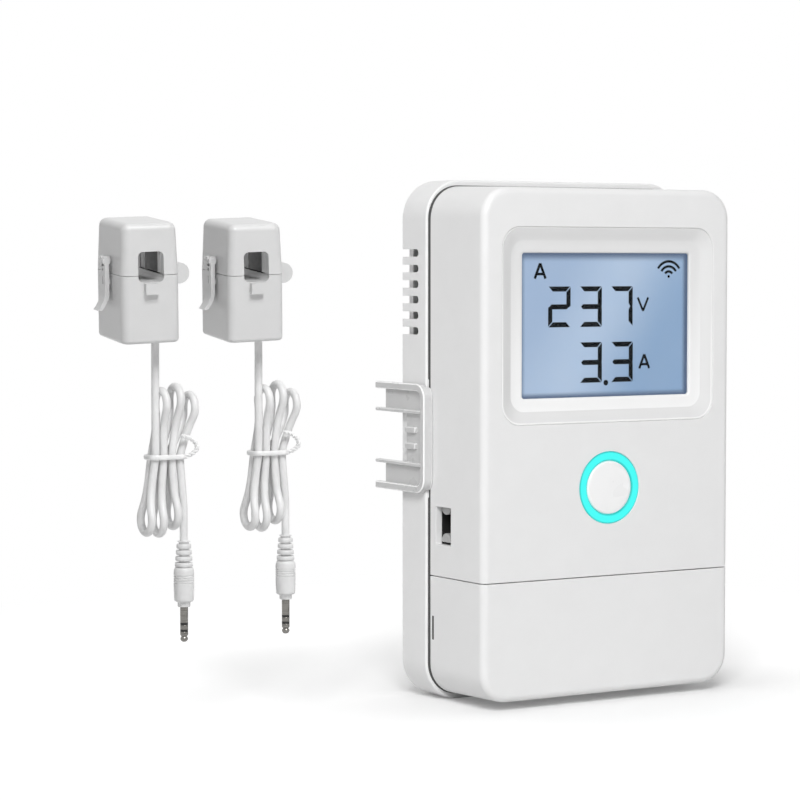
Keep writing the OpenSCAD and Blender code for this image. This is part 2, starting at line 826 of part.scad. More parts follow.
// One pole for each wire, side by side on the board
module terminal_block() {
    color("#4A7A4E") for (x = wire_xs) translate([x, 0, block_bottom]) difference() {
        half = (wire_pitch - pole_gap) / 2;
        box([-half, power_y - block_t, 0], [half, power_y, block_h]);
        translate([0, wire_y, -lap]) cylinder(r = wire_r, h = wire_l + lap);
        translate([0, 0, wire_l / 2]) rod_y(terminal_screw_r + slip, -far, terminal_seat_y);
    }
}

module terminal_screws() {
    color("#C8C8C8") for (x = wire_xs) translate([x, 0, block_bottom + wire_l / 2])
        rod_y(terminal_screw_r, terminal_seat_y - terminal_screw_head_t, terminal_seat_y);
}

module probe_socket() {
    color("#262626") translate([-socket_x, 0, port_z]) difference() {
        box(
            [0, -port_y - port_w / 2 - socket_wall, -port_h / 2 - socket_wall],
            [socket_l, power_y, port_h / 2 + socket_wall]);
        translate([0, -port_y, 0])
            box([-lap, -port_w / 2, -port_h / 2], [socket_deep, port_w / 2, port_h / 2]);
    }
}

module probe_contacts() {
    color("#D8B25A") translate([-socket_x + socket_deep, -port_y, port_z]) for (i = [-1.5 : 1 : 1.5])
        translate([0, 0, i * contact_pitch])
            box([-2, -port_w / 2 + 2, -contact_t / 2], [0, port_w / 2 - 2, contact_t / 2]);
}

module ct_jacks() {
    nose_x = housing_w / 2 + draft / 2;
    color("#2A2A2A") for (s = [-1, 1]) translate([0, jack_y, jack_z + s * jack_pitch / 2]) difference() {
        union() {
            box(
                [socket_x - jack_body_l, -jack_body_w / 2, -jack_body_w / 2],
                [socket_x, power_y - jack_y, jack_body_w / 2]);
            rod_x(jack_nose_r, socket_x - lap, nose_x);
        }
        rod_x(jack_r, nose_x - jack_l, nose_x + lap);
    }
}

// The latch's side frame, seen from the side: a rim open to the back, with two inner ribs
module latch_rim() {
    long = rib_reach - latch_front_y;
    difference() {
        translate([latch_front_y + long, 0]) round_rect(2 * long, latch_h, latch_corner_r);
        translate([latch_front_y + latch_wall + long, 0])
            round_rect(2 * long, latch_h - 2 * outer_rib, latch_corner_r - outer_rib);
        translate([rib_reach, -far]) square(2 * far);
    }
    for (s = [-1, 1])
        translate([latch_front_y + lap, s * (latch_h / 2 - arm_h + inner_rib / 2) - inner_rib / 2])
        square([long - lap, inner_rib]);
}

// Extrudes a YZ outline outwards from the left side, between two distances from the middle
module side_plate(x0, x1) {
    translate([-x0, 0, latch_z]) rotate([0, 0, 180]) rotate([90, 0, 90])
        linear_extrude(x1 - x0) mirror([1, 0]) children();
}

module rail_latch() {
    color("#D8D8D8") {
        side_plate(latch_in_x, latch_x) latch_rim();
        side_plate(housing_w / 2 + draft + slip, latch_in_x + lap)
            intersection() {
                translate([latch_front_y + latch_h, 0]) round_rect(2 * latch_h, latch_h, latch_corner_r);
                translate([latch_front_y, -latch_h / 2]) square([latch_wall - 0.4, latch_h]);
            }
        side_plate(latch_in_x, latch_in_x + web_t) for (s = [-1, 1])
            translate([latch_front_y + lap, s * (latch_h / 2 - arm_h / 2) - arm_h / 2 + lap])
                square([web_reach - latch_front_y - lap, arm_h - 2 * lap]);
        side_plate(latch_in_x, latch_in_x + web_t)
            translate([latch_front_y + lap, -latch_h / 2 + arm_h - lap])
            square([pad_l, latch_h - 2 * arm_h + 2 * lap]);
        side_plate(latch_in_x + web_t / 2, latch_in_x + web_t + grip_t) for (s = [-1, 1])
            translate([latch_front_y + pad_l / 2, s * grip_at - grip_h / 2]) square([pad_l / 2, grip_h]);
        for (s = [-1, 1]) translate([0, 0, latch_z + s * bar_z]) {
            box(
                [-latch_in_x - web_t / 2, clear, -bar_h / 2],
                [-rail_w / 2 - clear, clear + bar_t, bar_h / 2]);
            box(
                [-rail_w / 2 - clear - lap, flange_t + lap, -bar_h / 2],
                [-rail_w / 2 + hook_lap, clear + bar_t, bar_h / 2]);
        }
    }
}

module case_screws() {
    color("#B8B8B8") for (p = bosses) translate([p[0], 0, p[1]]) {
        rod_y(screw_head_r, -screw_seat, -screw_seat + screw_head_t);
        rod_y(screw_r, split_y - screw_l + lap, -screw_seat + lap);
    }
}

// Places a sensor's pieces: 0 is the left one
module at_sensor(i) {
    translate([sensor_x + i * sensor_pitch, sensor_y, sensor_z]) children();
}

// Turns and leans a sensor about the point where its cord comes out
module leaning() {
    translate([cord_x, cord_y, 0]) rotate([0, 0, -tilt_turn]) rotate([sensor_tilt, 0, 0])
        rotate([0, 0, tilt_turn - sensor_turn]) translate([-cord_x, -cord_y, 0]) children();
}

module hinge_bore() {
    translate([hinge_x, 0, sensor_seam]) rod_y(pin_r + pin_fit, pin_cap - pin_half, far);
}

// Fills the two outer knuckles, or the middle one
module outer_knuckles(r, grow) {
    for (s = [-1, 1]) translate([hinge_x, s * (knuckle_l + knuckle_gap), sensor_seam])
        rod_y(r, -knuckle_l / 2 - grow, knuckle_l / 2 + grow);
}

module middle_knuckle(r, grow) {
    translate([hinge_x, 0, sensor_seam]) rod_y(r, -knuckle_l / 2 - grow, knuckle_l / 2 + grow);
}

module window_cut() {
    translate([0, 0, sensor_seam + (window_up - window_down) / 2])
        plate(window_w, window_up + window_down, window_r, -far, far);
}

// The lower half's block, with a round edge at the bottom
module base_block() {
    hull() for (a = [0 : 30 : 90])
        let (inset = base_r * (1 - sin(a)))
        translate([0, 0, base_r * (1 - cos(a))]) linear_extrude(skin)
            round_rect(sensor_w - 2 * inset, sensor_d - 2 * inset, sensor_r - inset, $fn = hull_fn);
    translate([0, 0, base_r]) linear_extrude(sensor_seam - base_r) round_rect(sensor_w, sensor_d, sensor_r);
}

module sensor_base() {
    color("#DCDCDC") difference() {
        union() {
            difference() {
                base_block();
                box([-cavity_x, -cavity_y, floor_s], [cavity_x, cavity_y, shelf_z]);
                for (s = [-1, 1]) translate([s * (leg_in - core_fit + cavity_x) / 2, 0, sensor_seam])
                    cube(
                        [cavity_x - leg_in + core_fit, 2 * cavity_y, 2 * (sensor_seam - floor_s)],
                        center = true);
                window_cut();
                middle_knuckle(knuckle_r + knuckle_gap, knuckle_gap);
                translate([cord_x, cord_y, -lap]) cylinder(r = grommet_r + 0.1, h = floor_s + 2 * lap);
            }
            intersection() {
                outer_knuckles(knuckle_r, 0);
                box([hinge_x - knuckle_r, -far, -far], [far, far, far]);
            }
            translate([0, 0, sensor_seam - window_down - peg_h - 0.2])
                box([-peg_w / 2, -sensor_d / 2 - peg_out, 0], [peg_w / 2, -sensor_d / 2 + lap, peg_h]);
            translate([-sensor_w / 2, strap_y, sensor_seam - 2.6])
                box([-nub_out, -strap_w / 5, -0.8], [lap, strap_w / 5, 0.8]);
        }
        hinge_bore();
    }
}

module jaw_block() {
    hull() {
        for (a = [0 : 15 : 90])
            let (inset = jaw_draft + jaw_top_r * (1 - cos(a)), z = sensor_h - jaw_top_r * (1 - sin(a)))
            translate([0, 0, z - skin]) linear_extrude(skin)
                round_rect(
                    sensor_w - 2 * inset, sensor_d - 2 * inset,
                    max(sensor_r - inset + jaw_draft, 0.8), $fn = hull_fn);
        translate([0, 0, sensor_seam + jaw_gap])
            linear_extrude(skin) round_rect(sensor_w, sensor_d, sensor_r, $fn = hull_fn);
    }
}

module sensor_jaw() {
    color("#DEDEDE") difference() {
        union() {
            difference() {
                jaw_block();
                box(
                    [-cavity_x + jaw_draft, -cavity_y + jaw_draft, sensor_seam - lap],
                    [cavity_x - jaw_draft, cavity_y - jaw_draft, sensor_h - roof_t]);
                window_cut();
                outer_knuckles(knuckle_r + knuckle_gap, knuckle_gap);
            }
            middle_knuckle(knuckle_r, 0);
            translate([0, strap_y, strap_top]) box(
                [barrel_x - barrel_r, -lug_w / 2, -lug_h / 2],
                [-sensor_w / 2 + 2 * lap, lug_w / 2, lug_h / 2]);
        }
        hinge_bore();
        translate([barrel_x, strap_y, strap_top]) rod_y(trunnion_r + pin_fit, -lug_w, lug_w);
    }
}

module sensor_base_core() {
    color("#3A3A3A") {
        for (s = [-1, 1])
            translate([s * (leg_in + leg_out) / 2, 0, (coil_z - yoke_h / 2 + sensor_seam - core_fit) / 2])
            cube(
                [leg_out - leg_in, 2 * (cavity_y - core_fit), sensor_seam - core_fit - coil_z + yoke_h / 2],
                center = true);
        translate([0, 0, coil_z]) cube([2 * leg_in + lap, yoke_d, yoke_h], center = true);
    }
}

module sensor_jaw_core() {
    top = sensor_h - roof_t;
    deep = cavity_y - jaw_draft - core_fit;
    color("#3A3A3A") difference() {
        box(
            [-leg_out + jaw_draft, -deep, sensor_seam + jaw_gap + core_fit],
            [leg_out - jaw_draft, deep, top]);
        box([-leg_in, -far, -far], [leg_in, far, sensor_seam + window_up + 2 * core_fit]);
    }
}

// A ring about the coil's axis
module coil_ring(r0, r1, x0, x1) {
    translate([0, 0, coil_z]) difference() {
        rod_x(r1, x0, x1);
        rod_x(r0, x0 - lap, x1 + lap);
    }
}

module sensor_bobbin() {
    color("#E8E2D0") {
        coil_ring(bobbin_r, bobbin_r + bobbin_t, -coil_l / 2, coil_l / 2);
        for (s = [-1, 1]) translate([s * (coil_l - bobbin_t) / 2, 0, 0])
            coil_ring(bobbin_r, flange_r, -bobbin_t / 2, bobbin_t / 2);
    }
}

module sensor_winding() {
    color("#B8682E") coil_ring(
        bobbin_r + bobbin_t + core_fit, winding_r,
        -coil_l / 2 + bobbin_t + core_fit, coil_l / 2 - bobbin_t - core_fit);
}

module sensor_hinge_pin() {
    color("#D4D4D4") translate([hinge_x, 0, sensor_seam]) rod_y(pin_r, pin_cap - pin_half, pin_half);
}

// The strap's side view: straight, then curling outwards to its lower end
module strap_outline() {
    face = -sensor_w / 2 - strap_gap;
    curl = [for (t = [0 : 0.2 : 1]) [face - strap_flare * t * t, strap_bend - (strap_bend - strap_end) * t]];
    polygon(concat(
        [[face, strap_top]],
        curl,
        [for (i = [len(curl) - 1 : -1 : 0]) curl[i] - [strap_t, 0]],
        [[face - strap_t, strap_top]]
    ));
}

module sensor_latch() {
    color("#D4D4D4") translate([0, strap_y, 0]) {
        difference() {
            union() {
                translate([0, strap_w / 2, 0]) rotate([90, 0, 0]) linear_extrude(strap_w) strap_outline();
                translate([barrel_x, 0, strap_top]) rod_y(barrel_r, -strap_w / 2, strap_w / 2);
            }
            translate([barrel_x, 0, strap_top])
                cube([4 * strap_t, lug_w + 2 * slip, lug_h + 2 * lug_room], center = true);
            translate([barrel_x, 0, sensor_seam + 1.2]) cube([4 * strap_t, 1.2, 0.7], center = true);
            translate([barrel_x, 0, sensor_seam - 2]) cube([4 * strap_t, 0.7, 2.4], center = true);
        }
        translate([barrel_x, 0, strap_top])
            rod_y(trunnion_r, -lug_w / 2 - slip - lap, lug_w / 2 + slip + lap);
    }
}

module sensor_grommet() {
    color("#D0D0D0") translate([cord_x, cord_y, 0]) {
        cylinder(r = grommet_r, h = floor_s + lap);
        translate([0, 0, floor_s]) cylinder(r = grommet_r + grommet_flange, h = grommet_flange_t);
    }
}

module sensor_lead() {
    long = waist_drop - hank_start;
    color("#E4E4E4") difference() {
        tube([for (k = [-1 : 3]) [cord_x, cord_y, -k * long / 3]], cord_d / 2, cord_sides);
        leaning() box([-far, -far, 0], [far, far, far]);
    }
}

module sensor_hank() {
    color("#E4E4E4") translate([cord_x, 0, -waist_drop]) tube(hank_points, cord_d / 2, hank_sides);
}

module sensor_tail() {
    color("#E4E4E4")
        tube([for (k = [0 : 1]) [plug_x, cord_y, plug_z + tail_l * (1 - k)]], cord_d / 2, cord_sides);
}

module sensor_tie() {
    long = hank_turns * strand_pitch + cord_d + 2 * tie_gap;
    deep = 2 * waist_y + cord_d + 2 * tie_gap;
    color("#F0F0F0") translate([cord_x + hank_turns * strand_pitch / 2, 0, -waist_drop]) {
        translate([0, 0, -tie_h / 2]) linear_extrude(tie_h) difference() {
            round_rect(long + 2 * tie_t, deep + 2 * tie_t, cord_d / 2 + tie_gap + tie_t);
            round_rect(long, deep, cord_d / 2 + tie_gap);
        }
        translate([long / 2 - 1, -deep / 2 - tie_t, 0]) tube(twist_route, twist_r, hank_sides);
    }
}

module at_plug() {
    translate([plug_x, cord_y, plug_z]) children();
}

module sensor_plug_body() {
    rib = boot_l / (2 * boot_ribs);
    color("#E2E2E2") at_plug() {
        rotate([180, 0, 0]) {
            cylinder(r = boot_top_r, h = boot_l + lap);
            for (i = [0 : boot_ribs - 1]) translate([0, 0, (2 * i + 0.5) * rib])
                cylinder(r = boot_end_r - boot_rib / 2 + i * boot_rib / 2, h = rib);
            translate([0, 0, boot_l]) cylinder(r1 = boot_end_r, r2 = plug_body_r, h = 1.2);
            translate([0, 0, boot_l + 1.2]) cylinder(r = plug_body_r, h = body_l - 1.2);
            translate([0, 0, boot_l + body_l - lap]) cylinder(r = collar_r, h = collar_l + lap);
        }
    }
}

// Start of each metal contact below the collar
ring_start = sleeve_l + band_l;
ring_l = plug_l - sleeve_l - 2 * band_l - tip_l;
tip_start = ring_start + ring_l + band_l;

module sensor_plug_contacts() {
    color("#C8C8CC") at_plug() translate([0, 0, -boot_l - body_l - collar_l]) rotate([180, 0, 0]) {
        cylinder(r = plug_r, h = sleeve_l);
        translate([0, 0, ring_start]) cylinder(r = plug_r, h = ring_l);
        translate([0, 0, tip_start]) {
            cylinder(r = plug_r, h = tip_l * 0.3);
            translate([0, 0, tip_l * 0.3]) cylinder(r1 = plug_r, r2 = plug_r * 0.7, h = tip_l * 0.15);
            translate([0, 0, tip_l * 0.45]) cylinder(r1 = plug_r * 0.7, r2 = plug_r, h = tip_l * 0.25);
            translate([0, 0, tip_l * 0.7]) cylinder(r1 = plug_r, r2 = plug_r * 0.4, h = tip_l * 0.3);
        }
    }
}

module sensor_plug_insulators() {
    color("#181818") at_plug() translate([0, 0, -boot_l - body_l - collar_l]) rotate([180, 0, 0]) {
        translate([0, 0, sleeve_l]) cylinder(r = plug_r, h = band_l);
        translate([0, 0, tip_start - band_l]) cylinder(r = plug_r, h = band_l);
    }
}

front_shell();
terminal_cover();
rear_shell();
display_bezel();
display_lens();
lcd_panel();
backlight_panel();
lcd_strips();
light_ring();
status_leds();
button_cap();
button_switch();
main_board();
board_screws();
power_board();
board_link();
transformer();
filter_capacitor();
fuse();
metering_chip();
radio_module();
terminal_block();
terminal_screws();
probe_socket();
probe_contacts();
ct_jacks();
rail_latch();
case_screws();
at_sensor(0) leaning() sensor_base();  // ct_a_base
at_sensor(0) leaning() sensor_jaw();  // ct_a_jaw
at_sensor(0) leaning() sensor_base_core();  // ct_a_base_core
at_sensor(0) leaning() sensor_jaw_core();  // ct_a_jaw_core
at_sensor(0) leaning() sensor_bobbin();  // ct_a_bobbin
at_sensor(0) leaning() sensor_winding();  // ct_a_winding
at_sensor(0) leaning() sensor_hinge_pin();  // ct_a_hinge_pin
at_sensor(0) leaning() sensor_latch();  // ct_a_latch
at_sensor(0) leaning() sensor_grommet();  // ct_a_grommet
at_sensor(0) sensor_lead();  // ct_a_lead
at_sensor(0) sensor_hank();  // ct_a_hank
at_sensor(0) sensor_tail();  // ct_a_tail
at_sensor(0) sensor_tie();  // ct_a_tie
at_sensor(0) sensor_plug_body();  // ct_a_plug_body
at_sensor(0) sensor_plug_contacts();  // ct_a_plug_contacts
at_sensor(0) sensor_plug_insulators();  // ct_a_plug_insulators
at_sensor(1) leaning() sensor_base();  // ct_b_base
at_sensor(1) leaning() sensor_jaw();  // ct_b_jaw
at_sensor(1) leaning() sensor_base_core();  // ct_b_base_core
at_sensor(1) leaning() sensor_jaw_core();  // ct_b_jaw_core
at_sensor(1) leaning() sensor_bobbin();  // ct_b_bobbin
at_sensor(1) leaning() sensor_winding();  // ct_b_winding
at_sensor(1) leaning() sensor_hinge_pin();  // ct_b_hinge_pin
at_sensor(1) leaning() sensor_latch();  // ct_b_latch
at_sensor(1) leaning() sensor_grommet();  // ct_b_grommet
at_sensor(1) sensor_lead();  // ct_b_lead
at_sensor(1) sensor_hank();  // ct_b_hank
at_sensor(1) sensor_tail();  // ct_b_tail
at_sensor(1) sensor_tie();  // ct_b_tie
at_sensor(1) sensor_plug_body();  // ct_b_plug_body
at_sensor(1) sensor_plug_contacts();  // ct_b_plug_contacts
at_sensor(1) sensor_plug_insulators();  // ct_b_plug_insulators
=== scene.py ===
"""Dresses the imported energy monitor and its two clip-on current sensors for rendering.

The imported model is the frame: every visible piece either is one of its nodes with a finish of its own,
or stands for one and rides on the same body. Lengths are written in millimetres and turned to metres
where a mesh is made. +Z is up, the front faces -Y, and the origin is the middle of the rail seat.
"""

import json
import logging
import math
from dataclasses import dataclass
from enum import Enum
from functools import cache
from typing import Callable, Optional, Sequence

import bmesh
import bpy
import numpy as np
from bpy.types import Material, Node, NodeSocket, NodeTree, Object
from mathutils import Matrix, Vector


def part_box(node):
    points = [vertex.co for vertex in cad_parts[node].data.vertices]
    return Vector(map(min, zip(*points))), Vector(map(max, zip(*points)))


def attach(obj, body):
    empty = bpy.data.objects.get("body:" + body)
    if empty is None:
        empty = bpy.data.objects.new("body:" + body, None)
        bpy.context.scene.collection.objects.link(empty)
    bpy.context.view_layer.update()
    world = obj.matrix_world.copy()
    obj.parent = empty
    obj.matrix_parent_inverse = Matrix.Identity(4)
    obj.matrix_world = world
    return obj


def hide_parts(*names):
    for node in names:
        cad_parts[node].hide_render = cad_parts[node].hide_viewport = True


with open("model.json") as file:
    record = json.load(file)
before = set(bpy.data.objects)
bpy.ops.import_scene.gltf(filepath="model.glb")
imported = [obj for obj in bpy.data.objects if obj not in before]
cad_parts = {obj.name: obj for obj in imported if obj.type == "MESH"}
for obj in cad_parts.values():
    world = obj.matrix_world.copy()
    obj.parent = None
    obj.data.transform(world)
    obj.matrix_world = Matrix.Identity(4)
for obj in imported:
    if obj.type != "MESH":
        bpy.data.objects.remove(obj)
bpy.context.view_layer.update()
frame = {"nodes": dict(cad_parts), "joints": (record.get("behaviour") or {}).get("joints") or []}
MM = 0.001
# Colour sockets of a Mix node.
MIX_FIRST, MIX_SECOND, MIX_RESULT = 6, 7, 2
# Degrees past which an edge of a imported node's copy is rounded, and the steps round it.
SHARP_TURN, EDGE_STEPS = 32.0, 3
# Steps in a small rounding's quarter turn, and the largest share of a side that the rounding takes up.
ARC_STEPS, ROUND_SHARE = 4, 0.45
log = logging.getLogger("energy_monitor")


class Body(str, Enum):
    """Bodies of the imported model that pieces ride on."""

    MONITOR = "monitor"
    BUTTON = "button"
    COVER = "cover"
    RAIL_SLIDE = "rail_slide"
    JAW_A = "jaw_a"
    JAW_B = "jaw_b"
    STRAP_A = "strap_a"
    STRAP_B = "strap_b"


class Recess(Enum):
    """What is cut into a screw's head."""

    CROSS = "cross"
    SLOT = "slot"


def linear(code: str) -> tuple[float, float, float, float]:
    """Turns an sRGB hex colour into the linear colour that a socket takes.

    Args:
        code: colour as #RRGGBB.

    Returns:
        Linear red, green, blue and an alpha of 1.
    """
    srgb = np.array([int(code[i : i + 2], 16) for i in (1, 3, 5)]) / 255.0
    flat = np.where(srgb <= 0.04045, srgb / 12.92, ((srgb + 0.055) / 1.055) ** 2.4)
    return (float(flat[0]), float(flat[1]), float(flat[2]), 1.0)


def wire(tree: NodeTree, node: Node, inputs: Optional[dict], links: Optional[dict]) -> None:
    """Sets some of a node's sockets to constants and links others.

    Args:
        tree: node tree that holds the node.
        node: the node.
        inputs: socket name or index to a constant.
        links: socket name or index to the output socket that feeds it.
    """
    for key, value in (inputs or {}).items():
        node.inputs[key].default_value = value
    for key, output in (links or {}).items():
        tree.links.new(output, node.inputs[key])


def add_node(
    tree: NodeTree,
    kind: str,
    inputs: Optional[dict] = None,
    links: Optional[dict] = None,
    **settings: object,
) -> Node:
    """Adds a node with its settings, socket values and links.

    Args:
        tree: node tree that gets the node.
        kind: node type's identifier, without the words that all of them start with.
        inputs: socket name or index to a constant.
        links: socket name or index to the output socket that feeds it.
        settings: node attributes.

    Returns:
        The new node.
    """
    node = tree.nodes.new(f"ShaderNode{kind}")
    for key, value in settings.items():
        setattr(node, key, value)
    wire(tree, node, inputs, links)
    return node


def per_metre(size_mm: float) -> float:
    """Texture scale at which a pattern's features are size_mm apart on Object coordinates."""
    return 1.0 / (size_mm * MM)


def new_material(name: str) -> tuple[Material, Node, NodeSocket]:
    """Starts a material.

    Args:
        name: material name.

    Returns:
        The material, its shader, and the socket of Object coordinates.
    """
    material = bpy.data.materials.new(name)
    material.use_nodes = True
    tree = material.node_tree
    return material, tree.nodes["Principled BSDF"], add_node(tree, "TexCoord").outputs["Object"]


def fine_grain(
    tree: NodeTree, place: NodeSocket, size_mm: float, height_mm: float, strength: float
) -> NodeSocket:
    """Normals of a finely grained surface, whose height is noise.

    Args:
        tree: node tree.
        place: coordinates.
        size_mm: size of the grains.
        height_mm: height of the grains.
        strength: strength of the bump.

    Returns:
        The normals' socket.
    """
    grain = add_node(tree, "TexNoise", {"Scale": per_metre(size_mm), "Detail": 2.0}, {"Vector": place})
    bump = add_node(
        tree, "Bump", {"Strength": strength, "Distance": height_mm * MM}, {"Height": grain.outputs["Fac"]}
    )
    return bump.outputs["Normal"]


def passage(
    tree: NodeTree, value: NodeSocket, ends_mm: Sequence[float], first: object, second: object
) -> NodeSocket:
    """Colour that passes smoothly from one to another between two coordinates.

    Args:
        tree: node tree.
        value: coordinate in metres.
        ends_mm: where the first colour ends and where the second begins.
        first: sRGB hex, or the socket of a colour.
        second: sRGB hex, or the socket of a colour.

    Returns:
        The colour's socket.
    """
    share = add_node(
        tree,
        "MapRange",
        {"From Min": ends_mm[0] * MM, "From Max": ends_mm[1] * MM},
        {"Value": value},
        interpolation_type="SMOOTHSTEP",
    )
    colours = {MIX_FIRST: first, MIX_SECOND: second}
    plain = {key: linear(colour) for key, colour in colours.items() if isinstance(colour, str)}
    linked = {key: colour for key, colour in colours.items() if key not in plain}
    mix = add_node(tree, "Mix", plain, {0: share.outputs["Result"], **linked}, data_type="RGBA")
    return mix.outputs[MIX_RESULT]


@dataclass(frozen=True)
class Finish:
    """A surface with faint mottling, fine grain and a gloss that wanders a little.

    Attributes:
        name: material name, the real material and how its surface was made.
        pale: sRGB hex of the paler tone.
        deep: sRGB hex of the deeper tone.
        roughness: middle of the roughness.
        uneven: how far the roughness wanders either way.
        mottle_mm: size of the colour's patches.
        grain_mm: size of the grains that the bump shows.
        relief_mm: height of the grains.
        metallic: 1 for a bare metal.
        ior: index of refraction, left at the default for a metal.
        sheen: weight of a soft sheen.
        transmission: share of light that passes through.
        glow: emission strength, in the surface's own colours.
        stretch: stretch of the mottling along X, Y and Z.
    """

    name: str
    pale: str
    deep: str
    roughness: float
    uneven: float = 0.04
    mottle_mm: float = 12.0
    grain_mm: float = 0.8
    relief_mm: float = 0.01
    metallic: float = 0.0
    ior: float = 1.5
    sheen: float = 0.0
    transmission: float = 0.0
    glow: float = 0.0
    stretch: tuple[float, float, float] = (1.0, 1.0, 1.0)

    @cache
    def build(self) -> Material:
        """Makes the material once.

        Returns:
            A material on Object coordinates.
        """
        material, shader, place = new_material(self.name)
        tree = material.node_tree
        drawn = add_node(tree, "Mapping", {"Scale": self.stretch}, {"Vector": place})
        patches = add_node(
            tree,
            "TexNoise",
            {"Scale": per_metre(self.mottle_mm), "Detail": 3.0, "Roughness": 0.6},
            {"Vector": drawn.outputs[0]},
        ).outputs["Fac"]
        low, high = 0.3, 0.7  # range that most of the noise keeps to
        tone = add_node(tree, "ValToRGB", links={"Fac": patches})
        for stop, position, code in zip(tone.color_ramp.elements, (low, high), (self.deep, self.pale)):
            stop.position = position
            stop.color = linear(code)
        smooth, rough = self.roughness - self.uneven, self.roughness + self.uneven
        gloss = add_node(
            tree,
            "MapRange",
            {"From Min": low, "From Max": high, "To Min": smooth, "To Max": rough},
            {"Value": patches},
        )
        wire(
            tree,
            shader,
            {
                "Metallic": self.metallic,
                "Sheen Weight": self.sheen,
                "Transmission Weight": self.transmission,
            },
            {
                "Base Color": tone.outputs["Color"],
                "Roughness": gloss.outputs["Result"],
                "Normal": fine_grain(tree, place, self.grain_mm, self.relief_mm, 0.6),
            },
        )
        if not self.metallic:
            shader.inputs["IOR"].default_value = self.ior
        if self.glow:
            wire(tree, shader, {"Emission Strength": self.glow}, {"Emission Color": tone.outputs["Color"]})
        return material


@dataclass(frozen=True)
class BacklitGlass:
    """Liquid crystal glass lit from behind: a cool blue field with a pale slanted band, dim along its sides.

    Attributes:
        name: material name.
        left: sRGB hex to the left of the band.
        band: sRGB hex of the pale band.
        right: sRGB hex to the right of the band, the deepest.
        lean: how far the band moves to the right for each step up.
        reach_mm: how far the left and the right tone lie from the band.
        band_left_mm: how far left of the middle the band crosses the field's mid height.
        edge: sRGB hex along the sides, in the frame's shade.
        centre_mm: X and Z of the field's middle.
        half_mm: half width and half height of the field.
        shades_mm: how far the shade reaches in from the left, right, lower and upper side.
        glow: emission strength.
        unlit: sRGB hex of the glass without its light.
        cloud_mm: size of the clouds that bend the band.
        wander_mm: how far they bend it either way.
    """

    name: str
    left: str
    band: str
    right: str
    lean: float
    reach_mm: tuple[float, float]
    band_left_mm: float
    edge: str
    centre_mm: tuple[float, float]
    half_mm: tuple[float, float]
    shades_mm: tuple[float, float, float, float]
    glow: float
    unlit: str = "#20262E"
    cloud_mm: float = 40.0
    wander_mm: float = 5.0

    def build(self) -> Material:
        """Makes the material.

        Returns:
            A glowing material whose field is a slanted blend of three blues, dimmed near the frame.
        """
        material, shader, place = new_material(self.name)
        tree = material.node_tree
        axes = add_node(tree, "SeparateXYZ", links={"Vector": place})
        (x, z), (half_x, half_z) = self.centre_mm, self.half_mm
        across = add_node(
            tree, "VectorMath", {1: (1.0, 0.0, -self.lean)}, {0: place}, operation="DOT_PRODUCT"
        )
        cloud = add_node(
            tree, "TexNoise", {"Scale": per_metre(self.cloud_mm), "Detail": 1.0}, {"Vector": place}
        )
        wander = add_node(
            tree,
            "MapRange",
            {"To Min": -self.wander_mm * MM, "To Max": self.wander_mm * MM},
            {"Value": cloud.outputs["Fac"]},
        )
        drift = add_node(
            tree, "Math", links={0: across.outputs["Value"], 1: wander.outputs["Result"]}, operation="ADD"
        ).outputs[0]
        crest = x - self.band_left_mm - self.lean * z
        to_left, to_right = self.reach_mm
        colour = passage(tree, drift, (crest, crest + to_right), self.band, self.right)
        colour = passage(tree, drift, (crest - to_left, crest), self.left, colour)
        left, right, lower, upper = self.shades_mm
        for axis, side, inwards in (
            ("X", x - half_x, left),
            ("X", x + half_x, -right),
            ("Z", z - half_z, lower),
            ("Z", z + half_z, -upper),
        ):
            colour = passage(tree, axes.outputs[axis], (side, side + inwards), self.edge, colour)
        wire(
            tree,
            shader,
            {"Base Color": linear(self.unlit), "Emission Strength": self.glow, "Roughness": 0.3, "IOR": 1.2},
            {"Emission Color": colour},
        )
        return material


@dataclass(frozen=True)
class RingGlow:
    """Frosted light guide lit from below: bright in its middle, thin and deeper at its two rims.

    Attributes:
        name: material name.
        bright: sRGB hex of the lit face.
        rim: sRGB hex of the rims.
        centre_z_mm: height of the ring's middle.
        inner_mm: radius of the hole.
        outer_mm: radius of the outside.
        rim_mm: width of the rims.
        glow: emission strength.
        unlit: sRGB hex of the guide without its light.
    """

    name: str
    bright: str
    rim: str
    centre_z_mm: float
    inner_mm: float
    outer_mm: float
    rim_mm: float
    glow: float
    unlit: str = "#0E4A4A"

    def build(self) -> Material:
        """Makes the material from the distance to the ring's axis.

        Returns:
            A glowing material.
        """
        material, shader, place = new_material(self.name)
        tree = material.node_tree
        flat = add_node(
            tree,
            "Mapping",
            {"Location": (0.0, 0.0, -self.centre_z_mm * MM), "Scale": (1.0, 0.0, 1.0)},
            {"Vector": place},
        )
        radius = add_node(tree, "VectorMath", links={0: flat.outputs[0]}, operation="LENGTH")
        colour = self.bright
        for side, inwards in ((self.inner_mm, self.rim_mm), (self.outer_mm, -self.rim_mm)):
            colour = passage(tree, radius.outputs["Value"], (side, side + inwards), self.rim, colour)
        wire(
            tree,
            shader,
            {"Base Color": linear(self.unlit), "Emission Strength": self.glow, "Roughness": 0.35},
            {"Emission Color": colour},
        )
        return material


